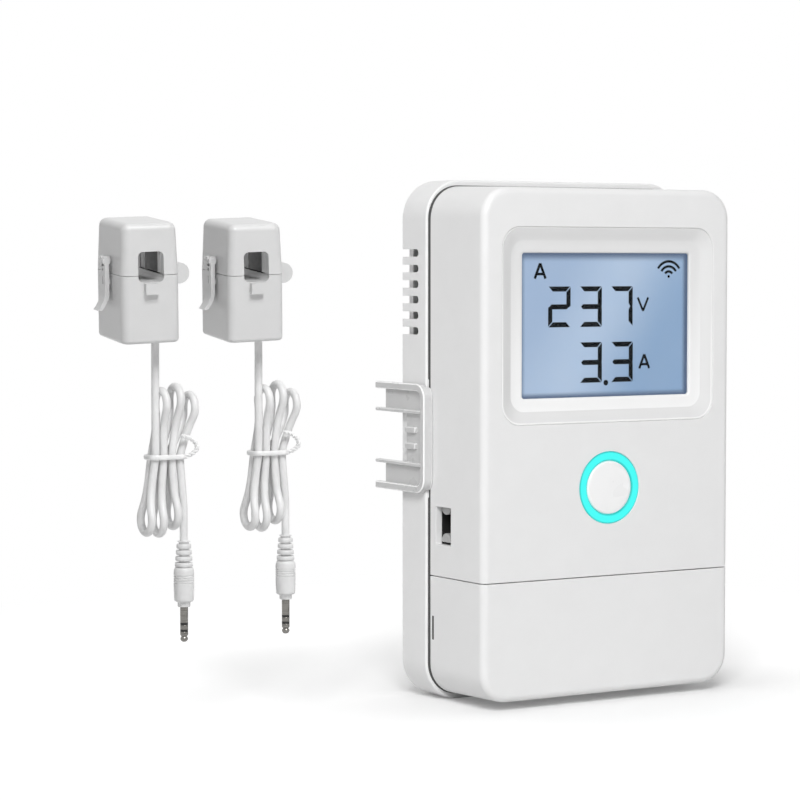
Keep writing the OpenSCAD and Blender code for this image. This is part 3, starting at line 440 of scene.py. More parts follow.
@dataclass(frozen=True)
class DishedFrame:
    """Moulded frame with painted shade: its slope greyer than the rest, and duller, and its lip and flat
    darker towards the top.

    Attributes:
        name: material name.
        flat_lower: sRGB hex of the lip and the flat, at their lower end.
        upper: sRGB hex of the lip and the flat at their upper end, darker there as painted shade.
        rise_mm: heights between which the first passes into the second.
        slope_shade: sRGB hex of the slope, painted shade.
        slope_mm: depths between which the slope lies.
        blend_mm: depth over which one tone passes into the other.
    """

    name: str
    flat_lower: str
    upper: str
    rise_mm: tuple[float, float]
    slope_shade: str
    slope_mm: tuple[float, float]
    blend_mm: float

    def build(self) -> Material:
        """Makes the material from the depth of each point.

        Returns:
            A satin white material.
        """
        material, shader, place = new_material(self.name)
        tree = material.node_tree
        axes = add_node(tree, "SeparateXYZ", links={"Vector": place}).outputs
        # Painted shade: the lip and the flat darken towards the top, and the slope is greyer.
        flat = passage(tree, axes["Z"], self.rise_mm, self.flat_lower, self.upper)
        front, back = self.slope_mm
        begins, ends = (front, front + self.blend_mm), (back - self.blend_mm, back)
        slope = passage(tree, axes["Y"], begins, "#000000", "#FFFFFF")
        slope = passage(tree, axes["Y"], ends, slope, "#000000")
        tones = {0: slope, MIX_FIRST: flat}
        colour = add_node(tree, "Mix", {MIX_SECOND: linear(self.slope_shade)}, tones, data_type="RGBA")
        gloss = add_node(tree, "MapRange", {"To Min": 0.28, "To Max": 0.42}, {"Value": slope})
        wire(
            tree,
            shader,
            {"IOR": 1.53},
            {
                "Base Color": colour.outputs[MIX_RESULT],
                "Roughness": gloss.outputs["Result"],
                "Normal": fine_grain(tree, place, 0.8, 0.003, 0.5),
            },
        )
        return material


@dataclass(frozen=True)
class CappedCore:
    """Ground ferrite between two moulded end caps: near black, with pale plastic before and behind it.

    Attributes:
        core: finish of the bare ferrite.
        cap: sRGB hex of the caps.
        bare_mm: where the bare ferrite begins and ends along the sensor, from the core's middle.
        edge_mm: width of the caps' soft edge.
    """

    core: Finish
    cap: str
    bare_mm: tuple[float, float]
    edge_mm: float

    def build(self, sensor: str) -> Material:
        """Makes the material from each point's distance along the sensor's hinge axis.

        Args:
            sensor: start of the sensor's node names.

        Returns:
            The ferrite's own material with caps at both ends.
        """
        axis = next(joint["axis"] for joint in frame["joints"] if joint["name"] == f"{sensor}_jaw_open")
        middle = np.array(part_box(f"{sensor}_jaw_core")).mean(axis=0) @ np.array(axis) / MM
        material = self.core.build().copy()
        material.name = f"{self.core.name}_{sensor}"
        tree = material.node_tree
        base = tree.nodes["Principled BSDF"].inputs["Base Color"]
        place = add_node(tree, "TexCoord").outputs["Object"]
        along = add_node(
            tree, "VectorMath", {1: axis}, {0: place}, operation="DOT_PRODUCT"
        ).outputs["Value"]
        front, back = (middle + end for end in self.bare_mm)
        colour = passage(tree, along, (front, front + self.edge_mm), self.cap, base.links[0].from_socket)
        colour = passage(tree, along, (back, back + self.edge_mm), colour, self.cap)
        tree.links.new(colour, base)
        return material


@dataclass(frozen=True)
class SolderMask:
    """Glass-fibre board under green lacquer: copper runs show through as slightly raised, paler bands.

    Attributes:
        name: material name.
        mask: sRGB hex of the lacquer over bare board.
        copper: sRGB hex of the lacquer over copper.
        run_mm: spacing of the runs.
    """

    name: str = "fr4_board_solder_mask"
    mask: str = "#1F5A38"
    copper: str = "#3E8A56"
    run_mm: float = 3.0

    @cache
    def build(self) -> Material:
        """Makes the material once.

        Returns:
            A material whose runs come from a brick pattern laid across the board.
        """
        material, shader, place = new_material(self.name)
        tree = material.node_tree
        laid = add_node(tree, "Mapping", {"Rotation": (math.radians(90.0), 0.0, 0.0)}, {"Vector": place})
        runs = add_node(
            tree,
            "TexBrick",
            {
                "Color1": linear(self.copper),
                "Color2": linear(self.copper),
                "Mortar": linear(self.mask),
                "Scale": per_metre(self.run_mm),
                "Mortar Size": 0.06,
                "Brick Width": 6.0,
                "Row Height": 0.5,
            },
            {"Vector": laid.outputs[0]},
        )
        bump = add_node(
            tree,
            "Bump",
            {"Strength": 0.4, "Distance": 0.05 * MM},
            {"Height": runs.outputs["Fac"]},
            invert=True,
        )
        wire(
            tree,
            shader,
            {"Roughness": 0.3},
            {"Base Color": runs.outputs["Color"], "Normal": bump.outputs["Normal"]},
        )
        return material


# ABS moulded in a lightly eroded tool: an even satin white with a very fine grain. The grain is drawn at
# 0.8 mm, coarser than the real 0.1 mm, so that it still shows at this distance.
FRONT_ABS = Finish("abs_white_satin_moulded", "#ECECEC", "#EAEAEA", 0.34, relief_mm=0.004, ior=1.53)
# The same ABS from the rear tool: a touch paler, but greyer to the eye, as it lies more in the shade.
REAR_ABS = Finish("abs_grey_white_satin_moulded", "#F0F0F0", "#EDEDED", 0.36, relief_mm=0.004, ior=1.53)
# Acetal of the rail latch, moulded for sliding: greyer than the housing, with a painted highlight along its
# edges.
LATCH_POM = Finish("acetal_grey_white_moulded", "#CFCFCF", "#CBCBCB", 0.3, relief_mm=0.004, ior=1.48)
# ABS of the display's frame, with painted shade: grey on the slope, and the lip and flat darker towards the
# top.
FRAME_ABS = DishedFrame(
    "abs_white_frame_painted_shade", "#F9F9F9", "#E4E4E4", (8.0, 70.0), "#E3E3E3", (-46.88, -45.44), 0.12
)
# ABS from a polished tool: smoother and brighter than the shells.
BUTTON_ABS = Finish("abs_white_button_moulded", "#F8F8F8", "#F6F6F6", 0.3, relief_mm=0.002, ior=1.53)
# Polycarbonate of the sensor halves: matt, cooler grey, with softer highlights than the shells.
SENSOR_PC = Finish(
    "polycarbonate_grey_white_moulded", "#D8D8D8", "#D5D5D5", 0.36, grain_mm=0.6, relief_mm=0.006, ior=1.58
)
# Acrylic window, cast and coated against reflections, so that it mirrors far less than bare acrylic.
WINDOW_ACRYLIC = Finish(
    "acrylic_clear_cast_coated", "#FFFFFF", "#FBFDFF", 0.03, uneven=0.01, relief_mm=0.0, ior=1.16,
    transmission=1.0,
)
# Dark ink of the liquid crystal: near black, very flat.
CRYSTAL_INK = Finish("liquid_crystal_dark_segments", "#0A1014", "#070C10", 0.6, relief_mm=0.0, ior=1.1)
# Soft vinyl, extruded over the cord: off-white with a waxy sheen.
CORD_PVC = Finish(
    "pvc_white_extruded", "#EDEDED", "#E2E2E2", 0.4, mottle_mm=8.0, grain_mm=0.5, relief_mm=0.006, ior=1.52,
    sheen=0.1,
)
# Vinyl moulded over the plug: the same white, slightly greyer where the tool was matt.
PLUG_PVC = Finish(
    "pvc_white_overmoulded", "#EAEAEA", "#DEDEDE", 0.44, grain_mm=0.5, relief_mm=0.008, ior=1.52
)
# Polythene skin of the twist tie: bright white, slightly crinkled.
TIE_PE = Finish(
    "polythene_white_wire_tie", "#F6F6F6", "#ECECEC", 0.35, mottle_mm=2.0, grain_mm=0.6, relief_mm=0.05
)
# Nickel over brass, turned on a lathe: mirror-like with fine rings round the shaft.
PLUG_NICKEL = Finish(
    "nickel_plated_turned_brass", "#8C8A86", "#6E6C69", 0.16, uneven=0.05, mottle_mm=0.6, relief_mm=0.001,
    metallic=1.0, stretch=(0.2, 0.2, 3.0),
)
# Acetal rings between the plug's contacts: smooth and near black.
PLUG_BAND = Finish("acetal_black_moulded_band", "#141414", "#0C0C0C", 0.3, mottle_mm=1.0, relief_mm=0.001)
# Ferrite, pressed, fired and ground: dark grey with pores that catch the light.
CORE_FERRITE = Finish(
    "ferrite_fired_and_ground", "#454545", "#2E2E2E", 0.5, uneven=0.1, mottle_mm=1.2, grain_mm=0.5,
    relief_mm=0.02,
)
# White nylon moulded over the core's ends: only the middle of the window looks dark.
CORE_ENDS = CappedCore(CORE_FERRITE, "#F6F6F6", (-6.3, 5.6), 0.3)
# Black nylon of sockets and cases: dull, with a soft grey highlight.
BLACK_NYLON = Finish("nylon_black_moulded", "#2A2A2A", "#1C1C1C", 0.45, grain_mm=0.6, relief_mm=0.01)
# Dull charcoal that stands in for shade: painted shade as a thin line in the groove between the mouldings and
# in the cover's slits.
SHADE_CHARCOAL = Finish("rubber_charcoal_pressed", "#4C4C4C", "#444444", 0.7, grain_mm=0.5, relief_mm=0.006)
# Moulded key of the port, with painted shade: darker than the shells, as it sits in the recess.
KEY_NYLON = Finish("nylon_grey_moulded", "#B4B4B4", "#AEAEAE", 0.45, grain_mm=0.6, relief_mm=0.006)
# Green nylon of the mains terminals: an even leaf green, slightly waxy.
GREEN_NYLON = Finish("nylon_green_moulded", "#4E8A58", "#3F7548", 0.42, grain_mm=0.7, relief_mm=0.01)
# Uncoloured nylon of the coil formers: creamy and half dull.
NATURAL_NYLON = Finish("nylon_natural_moulded", "#EDE6D2", "#DFD6BE", 0.45, grain_mm=0.7, relief_mm=0.01)
# Zinc-plated steel, cold headed: bluish grey with a soft gloss.
SCREW_STEEL = Finish(
    "steel_zinc_plated_headed", "#C9CCCF", "#AEB2B6", 0.3, uneven=0.08, mottle_mm=1.0, relief_mm=0.003,
    metallic=1.0,
)
# Tinned steel of the radio's lid, pressed from sheet: a warm, blurred mirror.
TINNED_STEEL = Finish(
    "steel_tinned_pressed", "#CFCFCD", "#B9B9B6", 0.28, uneven=0.08, mottle_mm=4.0, relief_mm=0.004,
    metallic=1.0,
)
# Enamelled copper, wound in layers: orange brown, with a line for every turn.
COIL_COPPER = Finish(
    "copper_enamelled_wound", "#C9793C", "#8E4A1C", 0.3, mottle_mm=0.5, metallic=1.0, stretch=(3.0, 0.2, 0.2)
)
# Thin gold on spring contacts: pale yellow and bright.
CONTACT_GOLD = Finish("gold_flashed_spring_contact", "#E3C06C", "#C79C45", 0.25, mottle_mm=1.0, metallic=1.0)
# Polyester tape round the transformer: glossy yellow in long, faint bands.
COIL_TAPE = Finish(
    "polyester_tape_yellow_wound", "#E9C545", "#D9AF2C", 0.25, mottle_mm=6.0, relief_mm=0.004,
    stretch=(0.3, 0.3, 2.0),
)
# Shrunk vinyl sleeve of the capacitor: slate grey with a soft gloss.
CAN_SLEEVE = Finish("pvc_shrink_sleeve_slate", "#414854", "#333944", 0.3, mottle_mm=5.0)
# Fired ceramic of the fuse: warm white, smooth and without glaze.
FUSE_CERAMIC = Finish("ceramic_white_fired", "#E6E4DC", "#D6D3C8", 0.35, mottle_mm=3.0)
# Silicone strips with conducting layers: dull pink, finely striped.
STRIP_ELASTOMER = Finish(
    "silicone_pink_striped", "#F0A3B6", "#C9798D", 0.6, mottle_mm=0.6, stretch=(4.0, 0.2, 0.2)
)
# Milky acrylic behind the glass: white and even, with no highlight of its own.
DIFFUSER = Finish("acrylic_white_diffuser", "#FAFCFF", "#F2F6FC", 0.5, mottle_mm=10.0)
# Cast epoxy of the small lamps: milky, with a faint glow.
LAMP_EPOXY = Finish("epoxy_milky_lamp", "#FFFFF4", "#F4F4E2", 0.3, mottle_mm=1.0, glow=0.4)
# Glass-fibre board: dark green, with paler runs.
BOARD = SolderMask()


def mesh_piece(
    name: str,
    vertices: np.ndarray,
    faces: Sequence[np.ndarray],
    finish: Material,
    sharp_degrees: float = 35.0,
) -> Object:
    """Puts arrays of points and faces into a new smooth-shaded object at the origin.

    Args:
        name: piece name.
        vertices: points in millimetres, n by 3.
        faces: arrays of vertex indices, each m by k with its own k.
        finish: material.
        sharp_degrees: edges that turn more than this stay crisp.

    Returns:
        The new object.
    """
    mesh = bpy.data.meshes.new(name)
    loops = np.concatenate([f.reshape(-1) for f in faces]).astype(np.int32)
    sizes = np.concatenate([np.full(len(f), f.shape[1]) for f in faces]).astype(np.int32)
    starts = np.concatenate([[0], np.cumsum(sizes)[:-1]]).astype(np.int32)
    mesh.vertices.add(len(vertices))
    mesh.vertices.foreach_set("co", (np.asarray(vertices, float) * MM).astype(np.float32).reshape(-1))
    mesh.loops.add(len(loops))
    mesh.loops.foreach_set("vertex_index", loops)
    mesh.polygons.add(len(sizes))
    mesh.polygons.foreach_set("loop_start", starts)
    mesh.update(calc_edges=True)
    mesh.validate()
    mesh.polygons.foreach_set("use_smooth", np.ones(len(mesh.polygons), bool))
    mesh.set_sharp_from_angle(angle=math.radians(sharp_degrees))
    mesh.materials.append(finish)
    piece = bpy.data.objects.new(name, mesh)
    bpy.context.scene.collection.objects.link(piece)
    return piece


def grid_faces(rows: int, columns: int, wrap_rows: bool, wrap_columns: bool, start: int = 0) -> np.ndarray:
    """Quads of a grid whose points are numbered row by row.

    Args:
        rows: number of rows.
        columns: points in a row.
        wrap_rows: joins the last row to the first.
        wrap_columns: joins the last point of a row to its first.
        start: number of the first point.

    Returns:
        Vertex indices, n by 4, turning right-handed about (row step) x (column step).
    """
    r = np.arange(rows if wrap_rows else rows - 1)[:, None]
    c = np.arange(columns if wrap_columns else columns - 1)[None, :]
    r2, c2 = (r + 1) % rows, (c + 1) % columns
    quads = np.stack([r * columns + c, r2 * columns + c, r2 * columns + c2, r * columns + c2], axis=-1)
    return quads.reshape(-1, 4) + start


def capped_faces(rows: int, columns: int) -> list:
    """Quads of a closed tube of rings, with a face across each end."""
    ring = np.arange(columns)[None, :]
    return [grid_faces(rows, columns, False, True), ring[:, ::-1], ring + (rows - 1) * columns]


def rounded_outline(width: float, height: float, radius: float, per_corner: int = 14) -> np.ndarray:
    """Rectangle with round corners: each arc is its centre plus the radius times (cos, sin) of the angle.

    Args:
        width: size across.
        height: size up.
        radius: corner radius.
        per_corner: steps in each corner's arc.

    Returns:
        Closed outline of x and z, anticlockwise, with the same number of points for any size.
    """
    angle = np.linspace(0.0, math.pi / 2, per_corner + 1)
    turn = (np.arange(4) * math.pi / 2)[:, None] + angle[None, :]
    side_x = np.array([1, -1, -1, 1])[:, None] * (width / 2 - radius)
    side_z = np.array([1, 1, -1, -1])[:, None] * (height / 2 - radius)
    return np.stack([side_x + radius * np.cos(turn), side_z + radius * np.sin(turn)], axis=-1).reshape(-1, 2)


def upright_rings(
    stations: Sequence[tuple[float, float, float, float]], centre_z: float, per_corner: int = 14
) -> list:
    """Rounded rectangles of changing size, each standing upright at a depth of its own.

    Args:
        stations: width, height, corner radius and depth y of each outline.
        centre_z: height of their middle.
        per_corner: steps in each corner's arc.

    Returns:
        Points of each outline, n by 3.
    """
    rings = []
    for width, height, radius, depth in stations:
        flat = rounded_outline(width, height, radius, per_corner)
        rings.append(np.column_stack([flat[:, 0], np.full(len(flat), depth), flat[:, 1] + centre_z]))
    return rings


def joined_rings(
    name: str,
    rings: Sequence[np.ndarray],
    finish: Material,
    sharp_degrees: float = 40.0,
    closed: bool = True,
) -> Object:
    """A surface over rings of points, each joined to the next, and the last to the first.

    Args:
        name: piece name.
        rings: points of each ring, n by 3, with the same n.
        finish: material.
        sharp_degrees: edges that turn more than this stay crisp.
        closed: joins the last ring to the first. Otherwise a face goes across each of them.

    Returns:
        The closed piece.
    """
    points = np.stack(rings)
    rows, columns = points.shape[:2]
    faces = [grid_faces(rows, columns, closed, True)]
    if not closed:
        first = np.arange(columns)[None, :]
        faces += [first, first[:, ::-1] + (rows - 1) * columns]
    piece = mesh_piece(name, points.reshape(-1, 3), faces, finish, sharp_degrees)
    tidy(piece)
    return piece


def lathe(
    name: str,
    profile: Sequence[tuple[float, float]],
    origin: Sequence[float],
    axis: Sequence[float],
    finish: Material,
    steps: int = 64,
    closed: bool = False,
) -> Object:
    """A turned shape: each profile point (r, h) becomes a circle of radius r at height h along the axis.

    Args:
        name: piece name.
        profile: radius and height pairs. A radius of 0 closes the shape at a pole.
        origin: point on the axis at height 0.
        axis: direction of growing height.
        finish: material.
        steps: points round each circle.
        closed: joins the profile's end to its start, for a ring.

    Returns:
        The turned piece.
    """
    along = np.asarray(axis, float) / np.linalg.norm(axis)
    side = np.cross(along, [0.0, 0.0, 1.0]) if abs(along[2]) < 0.9 else np.array([1.0, 0.0, 0.0])
    side /= np.linalg.norm(side)
    other = np.cross(along, side)
    turn = np.linspace(0.0, 2 * math.pi, steps, endpoint=False)
    circle = np.cos(turn)[:, None] * side + np.sin(turn)[:, None] * other
    rh = np.asarray(profile, float)
    points = np.asarray(origin, float) + rh[:, None, 0:1] * circle[None] + rh[:, None, 1:2] * along
    piece = mesh_piece(name, points.reshape(-1, 3), [grid_faces(len(rh), steps, closed, True)], finish, 50.0)
    tidy(piece)
    return piece


def tidy(piece: Object) -> None:
    """Merges doubled points, such as those of a pole, and turns the faces outwards.

    Args:
        piece: the piece, whose mesh is changed.
    """
    work = bmesh.new()
    work.from_mesh(piece.data)
    bmesh.ops.remove_doubles(work, verts=work.verts, dist=1e-6)
    bmesh.ops.recalc_face_normals(work, faces=work.faces)
    work.to_mesh(piece.data)
    work.free()


def sweep_frames(path: np.ndarray, upright: Sequence[float]) -> tuple[np.ndarray, np.ndarray]:
    """Two unit vectors across a path at each of its points.

    The tangent is the difference of the neighbours. The first vector is the upright direction less its part
    along the tangent, and the second is the tangent crossed with the first.

    Args:
        path: points, n by 3.
        upright: direction that the path never runs along.

    Returns:
        The two arrays of vectors.
    """
    tangent = np.gradient(path, axis=0)
    tangent /= np.linalg.norm(tangent, axis=1, keepdims=True)
    first = np.asarray(upright, float) - (tangent @ np.asarray(upright, float))[:, None] * tangent
    first /= np.linalg.norm(first, axis=1, keepdims=True)
    return first, np.cross(tangent, first)


def arc_length(path: np.ndarray) -> np.ndarray:
    """Distance along a path at each of its points."""
    return np.concatenate([[0.0], np.cumsum(np.linalg.norm(np.diff(path, axis=0), axis=1))])


def rings_along(path: np.ndarray, radius: float, upright: Sequence[float], sides: int) -> np.ndarray:
    """Circles round a path: each point plus the radius times (cos, sin) of the angle, on two vectors.

    Args:
        path: centre line, n by 3.
        radius: radius of the circles.
        upright: direction that the path never runs along.
        sides: points round each circle.

    Returns:
        Points, n by sides by 3.
    """
    first, second = sweep_frames(path, upright)
    turn = np.linspace(0.0, 2 * math.pi, sides, endpoint=False)[:, None]
    return path[:, None] + radius * (np.cos(turn) * first[:, None] + np.sin(turn) * second[:, None])


def tube(name: str, path: np.ndarray, radius: float, finish: Material) -> Object:
    """A round tube: at each path point a circle in the plane across the path, with closed ends.

    Args:
        name: piece name.
        path: centre line, n by 3, which never runs along X.
        radius: tube radius.
        finish: material.

    Returns:
        The tube.
    """
    sides = 16
    points = rings_along(path, radius, (1.0, 0.0, 0.0), sides)
    piece = mesh_piece(name, points.reshape(-1, 3), capped_faces(len(path), sides), finish, 60.0)
    tidy(piece)
    return piece


def smooth_path(points: np.ndarray, spacing: float, spread: float) -> np.ndarray:
    """Resamples a path evenly and rounds its small kinks.

    Each point becomes the average of its neighbours, weighted by a bell curve along the path, with the two
    ends held straight.

    Args:
        points: rough path.
        spacing: distance between new points.
        spread: width of the bell curve.

    Returns:
        The smooth path.
    """
    along = arc_length(points)
    even = np.linspace(0.0, along[-1], int(round(along[-1] / spacing)) + 1)
    line = np.column_stack([np.interp(even, along, points[:, k]) for k in range(3)])
    reach = int(round(3 * spread / spacing))
    weights = np.exp(-0.5 * (np.arange(-reach, reach + 1) * spacing / spread) ** 2)
    weights /= weights.sum()
    head = line[0] + (line[0] - line[1]) * np.arange(reach, 0, -1)[:, None]
    tail = line[-1] + (line[-1] - line[-2]) * np.arange(1, reach + 1)[:, None]
    padded = np.vstack([head, line, tail])
    return np.column_stack([np.convolve(padded[:, k], weights, mode="valid") for k in range(3)])


def prisms(
    name: str, shapes: Sequence[np.ndarray], y_front: float, y_back: float, finish: Material
) -> Object:
    """Flat shapes given a small thickness: each outline at two depths, with a wall between.

    Args:
        name: piece name.
        shapes: convex outlines of x and z, anticlockwise as seen from the front.
        y_front: depth of the front faces.
        y_back: depth of the back faces.
        finish: material.

    Returns:
        One object with all the shapes.
    """
    vertices, faces, start = [], [], 0
    for shape in shapes:
        n = len(shape)
        for depth in (y_front, y_back):
            vertices.append(np.column_stack([shape[:, 0], np.full(n, depth), shape[:, 1]]))
        ring = np.arange(n)
        faces += [(ring + start)[None, :], (ring[::-1] + start + n)[None, :]]
        faces.append(np.stack([ring, ring + n, (ring + 1) % n + n, (ring + 1) % n], axis=-1) + start)
        start += 2 * n
    piece = mesh_piece(name, np.vstack(vertices), faces, finish, 20.0)
    tidy(piece)
    return piece


def paint_edge_highlights(material: Material, pale: str) -> Material:
    """Paints a highlight: blends a material's colour into a paler one along the edges that a point attribute
    marks.

    Args:
        material: material with a linked base colour.
        pale: sRGB hex of the painted highlight.

    Returns:
        The same material.
    """
    tree = material.node_tree
    base = tree.nodes["Principled BSDF"].inputs["Base Color"]
    highlight_mask = add_node(tree, "Attribute", attribute_name="highlight_mask").outputs["Fac"]
    mix = add_node(
        tree,
        "Mix",
        {MIX_SECOND: linear(pale)},
        {0: highlight_mask, MIX_FIRST: base.links[0].from_socket},
        data_type="RGBA",
    )
    tree.links.new(mix.outputs[MIX_RESULT], base)
    return material


def arc_middles(arcs: int) -> np.ndarray:
    """1 at the inner points of each arc of a rounded outline, and 0 where an arc meets a straight."""
    return np.tile(np.r_[0.0, np.ones(ARC_STEPS - 1), 0.0], arcs)


def rounded_block(low: np.ndarray, high: np.ndarray, radius: float) -> tuple[np.ndarray, list, np.ndarray]:
    """Box with round edges: the corners of a smaller box, each plus the radius times a direction.

    The directions are a grid of turn and rise, and each eighth of the sphere belongs to one corner.

    Args:
        low: lowest corner.
        high: highest corner.
        radius: rounding of the edges.

    Returns:
        Points, arrays of faces, and 1 at the points on an edge.
    """
    radius = min(radius, ROUND_SHARE * float((high - low).min()))
    step = np.linspace(0.0, math.pi / 2, ARC_STEPS + 1)
    turn = ((np.arange(4) * math.pi / 2)[:, None] + step).reshape(-1)
    rise = np.concatenate([step - math.pi / 2, step])[:, None]
    corner_x, corner_y = np.repeat([[1, -1, -1, 1], [1, 1, -1, -1]], ARC_STEPS + 1, axis=1)
    corner_z = np.repeat([-1, 1], ARC_STEPS + 1)[:, None]
    sign = np.stack(np.broadcast_arrays(corner_x, corner_y, corner_z), axis=-1)
    out = np.stack(
        np.broadcast_arrays(np.cos(rise) * np.cos(turn), np.cos(rise) * np.sin(turn), np.sin(rise)), axis=-1
    )
    points = (low + high) / 2 + sign * ((high - low) / 2 - radius) + radius * out
    # 1 on the rounded edges, where the latch's painted highlight goes.
    highlight_mask = np.maximum(arc_middles(2)[:, None], arc_middles(4)[None, :])
    return points.reshape(-1, 3), capped_faces(*highlight_mask.shape), highlight_mask.reshape(-1)


def moulded_copy(
    node: str,
    name: str,
    finish: Material,
    edge_mm: float,
    clamp: bool = False,
    only: Optional[Callable[[np.ndarray], np.ndarray]] = None,
) -> Object:
    """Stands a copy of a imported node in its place, with merged faces and rounded edges.

    Args:
        node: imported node.
        name: piece name.
        finish: material.
        edge_mm: radius that the edges get.
        clamp: the smallest edge limits the rounding, for a shape that is rounded already.
        only: picks the points, in millimetres, whose sharp edges are rounded.

    Returns:
        The copy, not yet riding on a body.
    """
    mesh = frame["nodes"][node].data.copy()
    mesh.name = name
    for stale in {"custom_normal", "sharp_edge"} & set(mesh.attributes.keys()):
        mesh.attributes.remove(mesh.attributes[stale])
    work = bmesh.new()
    work.from_mesh(mesh)
    bmesh.ops.remove_doubles(work, verts=work.verts, dist=2e-6)
    bmesh.ops.dissolve_limit(
        work, angle_limit=math.radians(0.3), verts=work.verts, edges=work.edges, use_dissolve_boundaries=False
    )
    many_sided = [face for face in work.faces if len(face.verts) > 4]
    bmesh.ops.triangulate(work, faces=many_sided, ngon_method="BEAUTY")
    bmesh.ops.dissolve_degenerate(work, dist=5e-6, edges=work.edges)
    work.to_mesh(mesh)
    work.free()
    mesh.update()
    mesh.materials.clear()
    mesh.materials.append(finish)
    mesh.polygons.foreach_set("use_smooth", np.ones(len(mesh.polygons), bool))
    mesh.set_sharp_from_angle(angle=math.radians(SHARP_TURN))
    piece = bpy.data.objects.new(name, mesh)
    bpy.context.scene.collection.objects.link(piece)
    round_edges = piece.modifiers.new("rounded_edges", "BEVEL")
    round_edges.width = edge_mm * MM
    round_edges.segments = EDGE_STEPS
    round_edges.limit_method = "ANGLE"
    round_edges.angle_limit = math.radians(SHARP_TURN)
    round_edges.use_clamp_overlap = clamp
    round_edges.face_strength_mode = "FSTR_ALL"
    if only is not None:
        points = np.empty(3 * len(mesh.vertices))
        mesh.vertices.foreach_get("co", points)
        ends = np.empty(2 * len(mesh.edges), np.int32)
        mesh.edges.foreach_get("vertices", ends)
        sharp = np.empty(len(mesh.edges), bool)
        mesh.attributes["sharp_edge"].data.foreach_get("value", sharp)
        chosen = only(points.reshape(-1, 3) / MM)[ends.reshape(-1, 2)].all(axis=1) & sharp
        weight = mesh.attributes.new("bevel_weight_edge", "FLOAT", "EDGE")
        weight.data.foreach_set("value", chosen.astype(np.float32))
        round_edges.limit_method = "WEIGHT"
    flat_faces = piece.modifiers.new("flat_faces_stay_flat", "WEIGHTED_NORMAL")
    flat_faces.use_face_influence = True
    flat_faces.keep_sharp = True
    return piece


def screw_head(
    name: str,
    centres: Sequence[Sequence[float]],
    axis: Sequence[float],
    radius: float,
    height: float,
    recess: Recess,
    finish: Material,
) -> Object:
    """Screw heads as a height over a disc: a low dome, less a recess where |u| or |v| is under the blade.

    Args:
        name: piece name.
        centres: middle of each head's seat.
        axis: direction that the heads face.
        radius: head radius.
        height: head height.
        recess: what is cut into the top.
        finish: material.

    Returns:
        One object with all the heads.
    """
    along = np.asarray(axis, float)
    side = np.cross(along, [0.0, 0.0, 1.0])
    side /= np.linalg.norm(side)
    other = np.cross(along, side)
    rings, steps = 24, 72
    r = np.linspace(1.0, 0.0, rings)[:, None] * radius
    turn = np.linspace(0.0, 2 * math.pi, steps, endpoint=False)[None, :]
    u, v = r * np.cos(turn), r * np.sin(turn)
    dome, deep = 0.35 * height, 0.55 * height
    blade, reach, slot_end = 0.16 * radius, 0.62 * radius, 0.97 * radius
    wall = 0.25 * blade
    top = height - dome * (r / radius) ** 4 + 0 * turn
    across = np.clip((blade - np.abs(v)) / wall, 0, 1)
    if recess is Recess.CROSS:
        arm = np.clip((blade - np.abs(u)) / wall, 0, 1)
        cut = np.maximum(across * (np.abs(u) < reach), arm * (np.abs(v) < reach))
    else:
        cut = across * (r < slot_end)
    depth = top - deep * cut
    skirt = np.stack([radius * np.cos(turn[0]), radius * np.sin(turn[0]), np.zeros(steps)], axis=-1)
    local = np.concatenate([skirt[None], np.stack([u, v, depth], axis=-1)])
    vertices, faces = [], []
    for i, centre in enumerate(centres):
        world = np.asarray(centre, float) + local @ np.stack([side, other, along])
        vertices.append(world.reshape(-1, 3))
        faces.append(grid_faces(rings + 1, steps, False, True, i * (rings + 1) * steps))
    piece = mesh_piece(name, np.vstack(vertices), faces, finish, 40.0)
    tidy(piece)
    return piece


def seat(piece: Object, body: Body, slot: str, *nodes: str) -> Object:
    """Lets a piece ride on a body and hides the nodes that it stands for.

    Args:
        piece: the piece.
        body: body that carries it.
        slot: the record's material slot. Not used.
        nodes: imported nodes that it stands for.

    Returns:
        The piece.
    """
    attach(piece, body.value)
    if nodes:
        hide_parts(*nodes)
    log.info("%s rides on %s", piece.name, body.value)
    return piece


def dress(
    node: str, name: str, body: Body, slot: str, finish: Finish, edge_mm: float, **rounding: object
) -> Object:
    """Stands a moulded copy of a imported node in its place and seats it.

    Args:
        node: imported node.
        name: piece name.
        body: body that carries it.
        slot: the record's material slot.
        finish: the copy's finish.
        edge_mm: radius that the edges get.
        rounding: what else moulded_copy is told about the edges.

    Returns:
        The piece.
    """
    return seat(moulded_copy(node, name, finish.build(), edge_mm, **rounding), body, slot, node)


def paint(node: str, finish: Material) -> None:
    """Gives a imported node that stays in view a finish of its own.

    Args:
        node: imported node.
        finish: material.
    """
    target = frame["nodes"][node]
    target.data.materials.clear()
    target.data.materials.append(finish)
    log.info("%s keeps its shape and gets %s", node, finish.name)


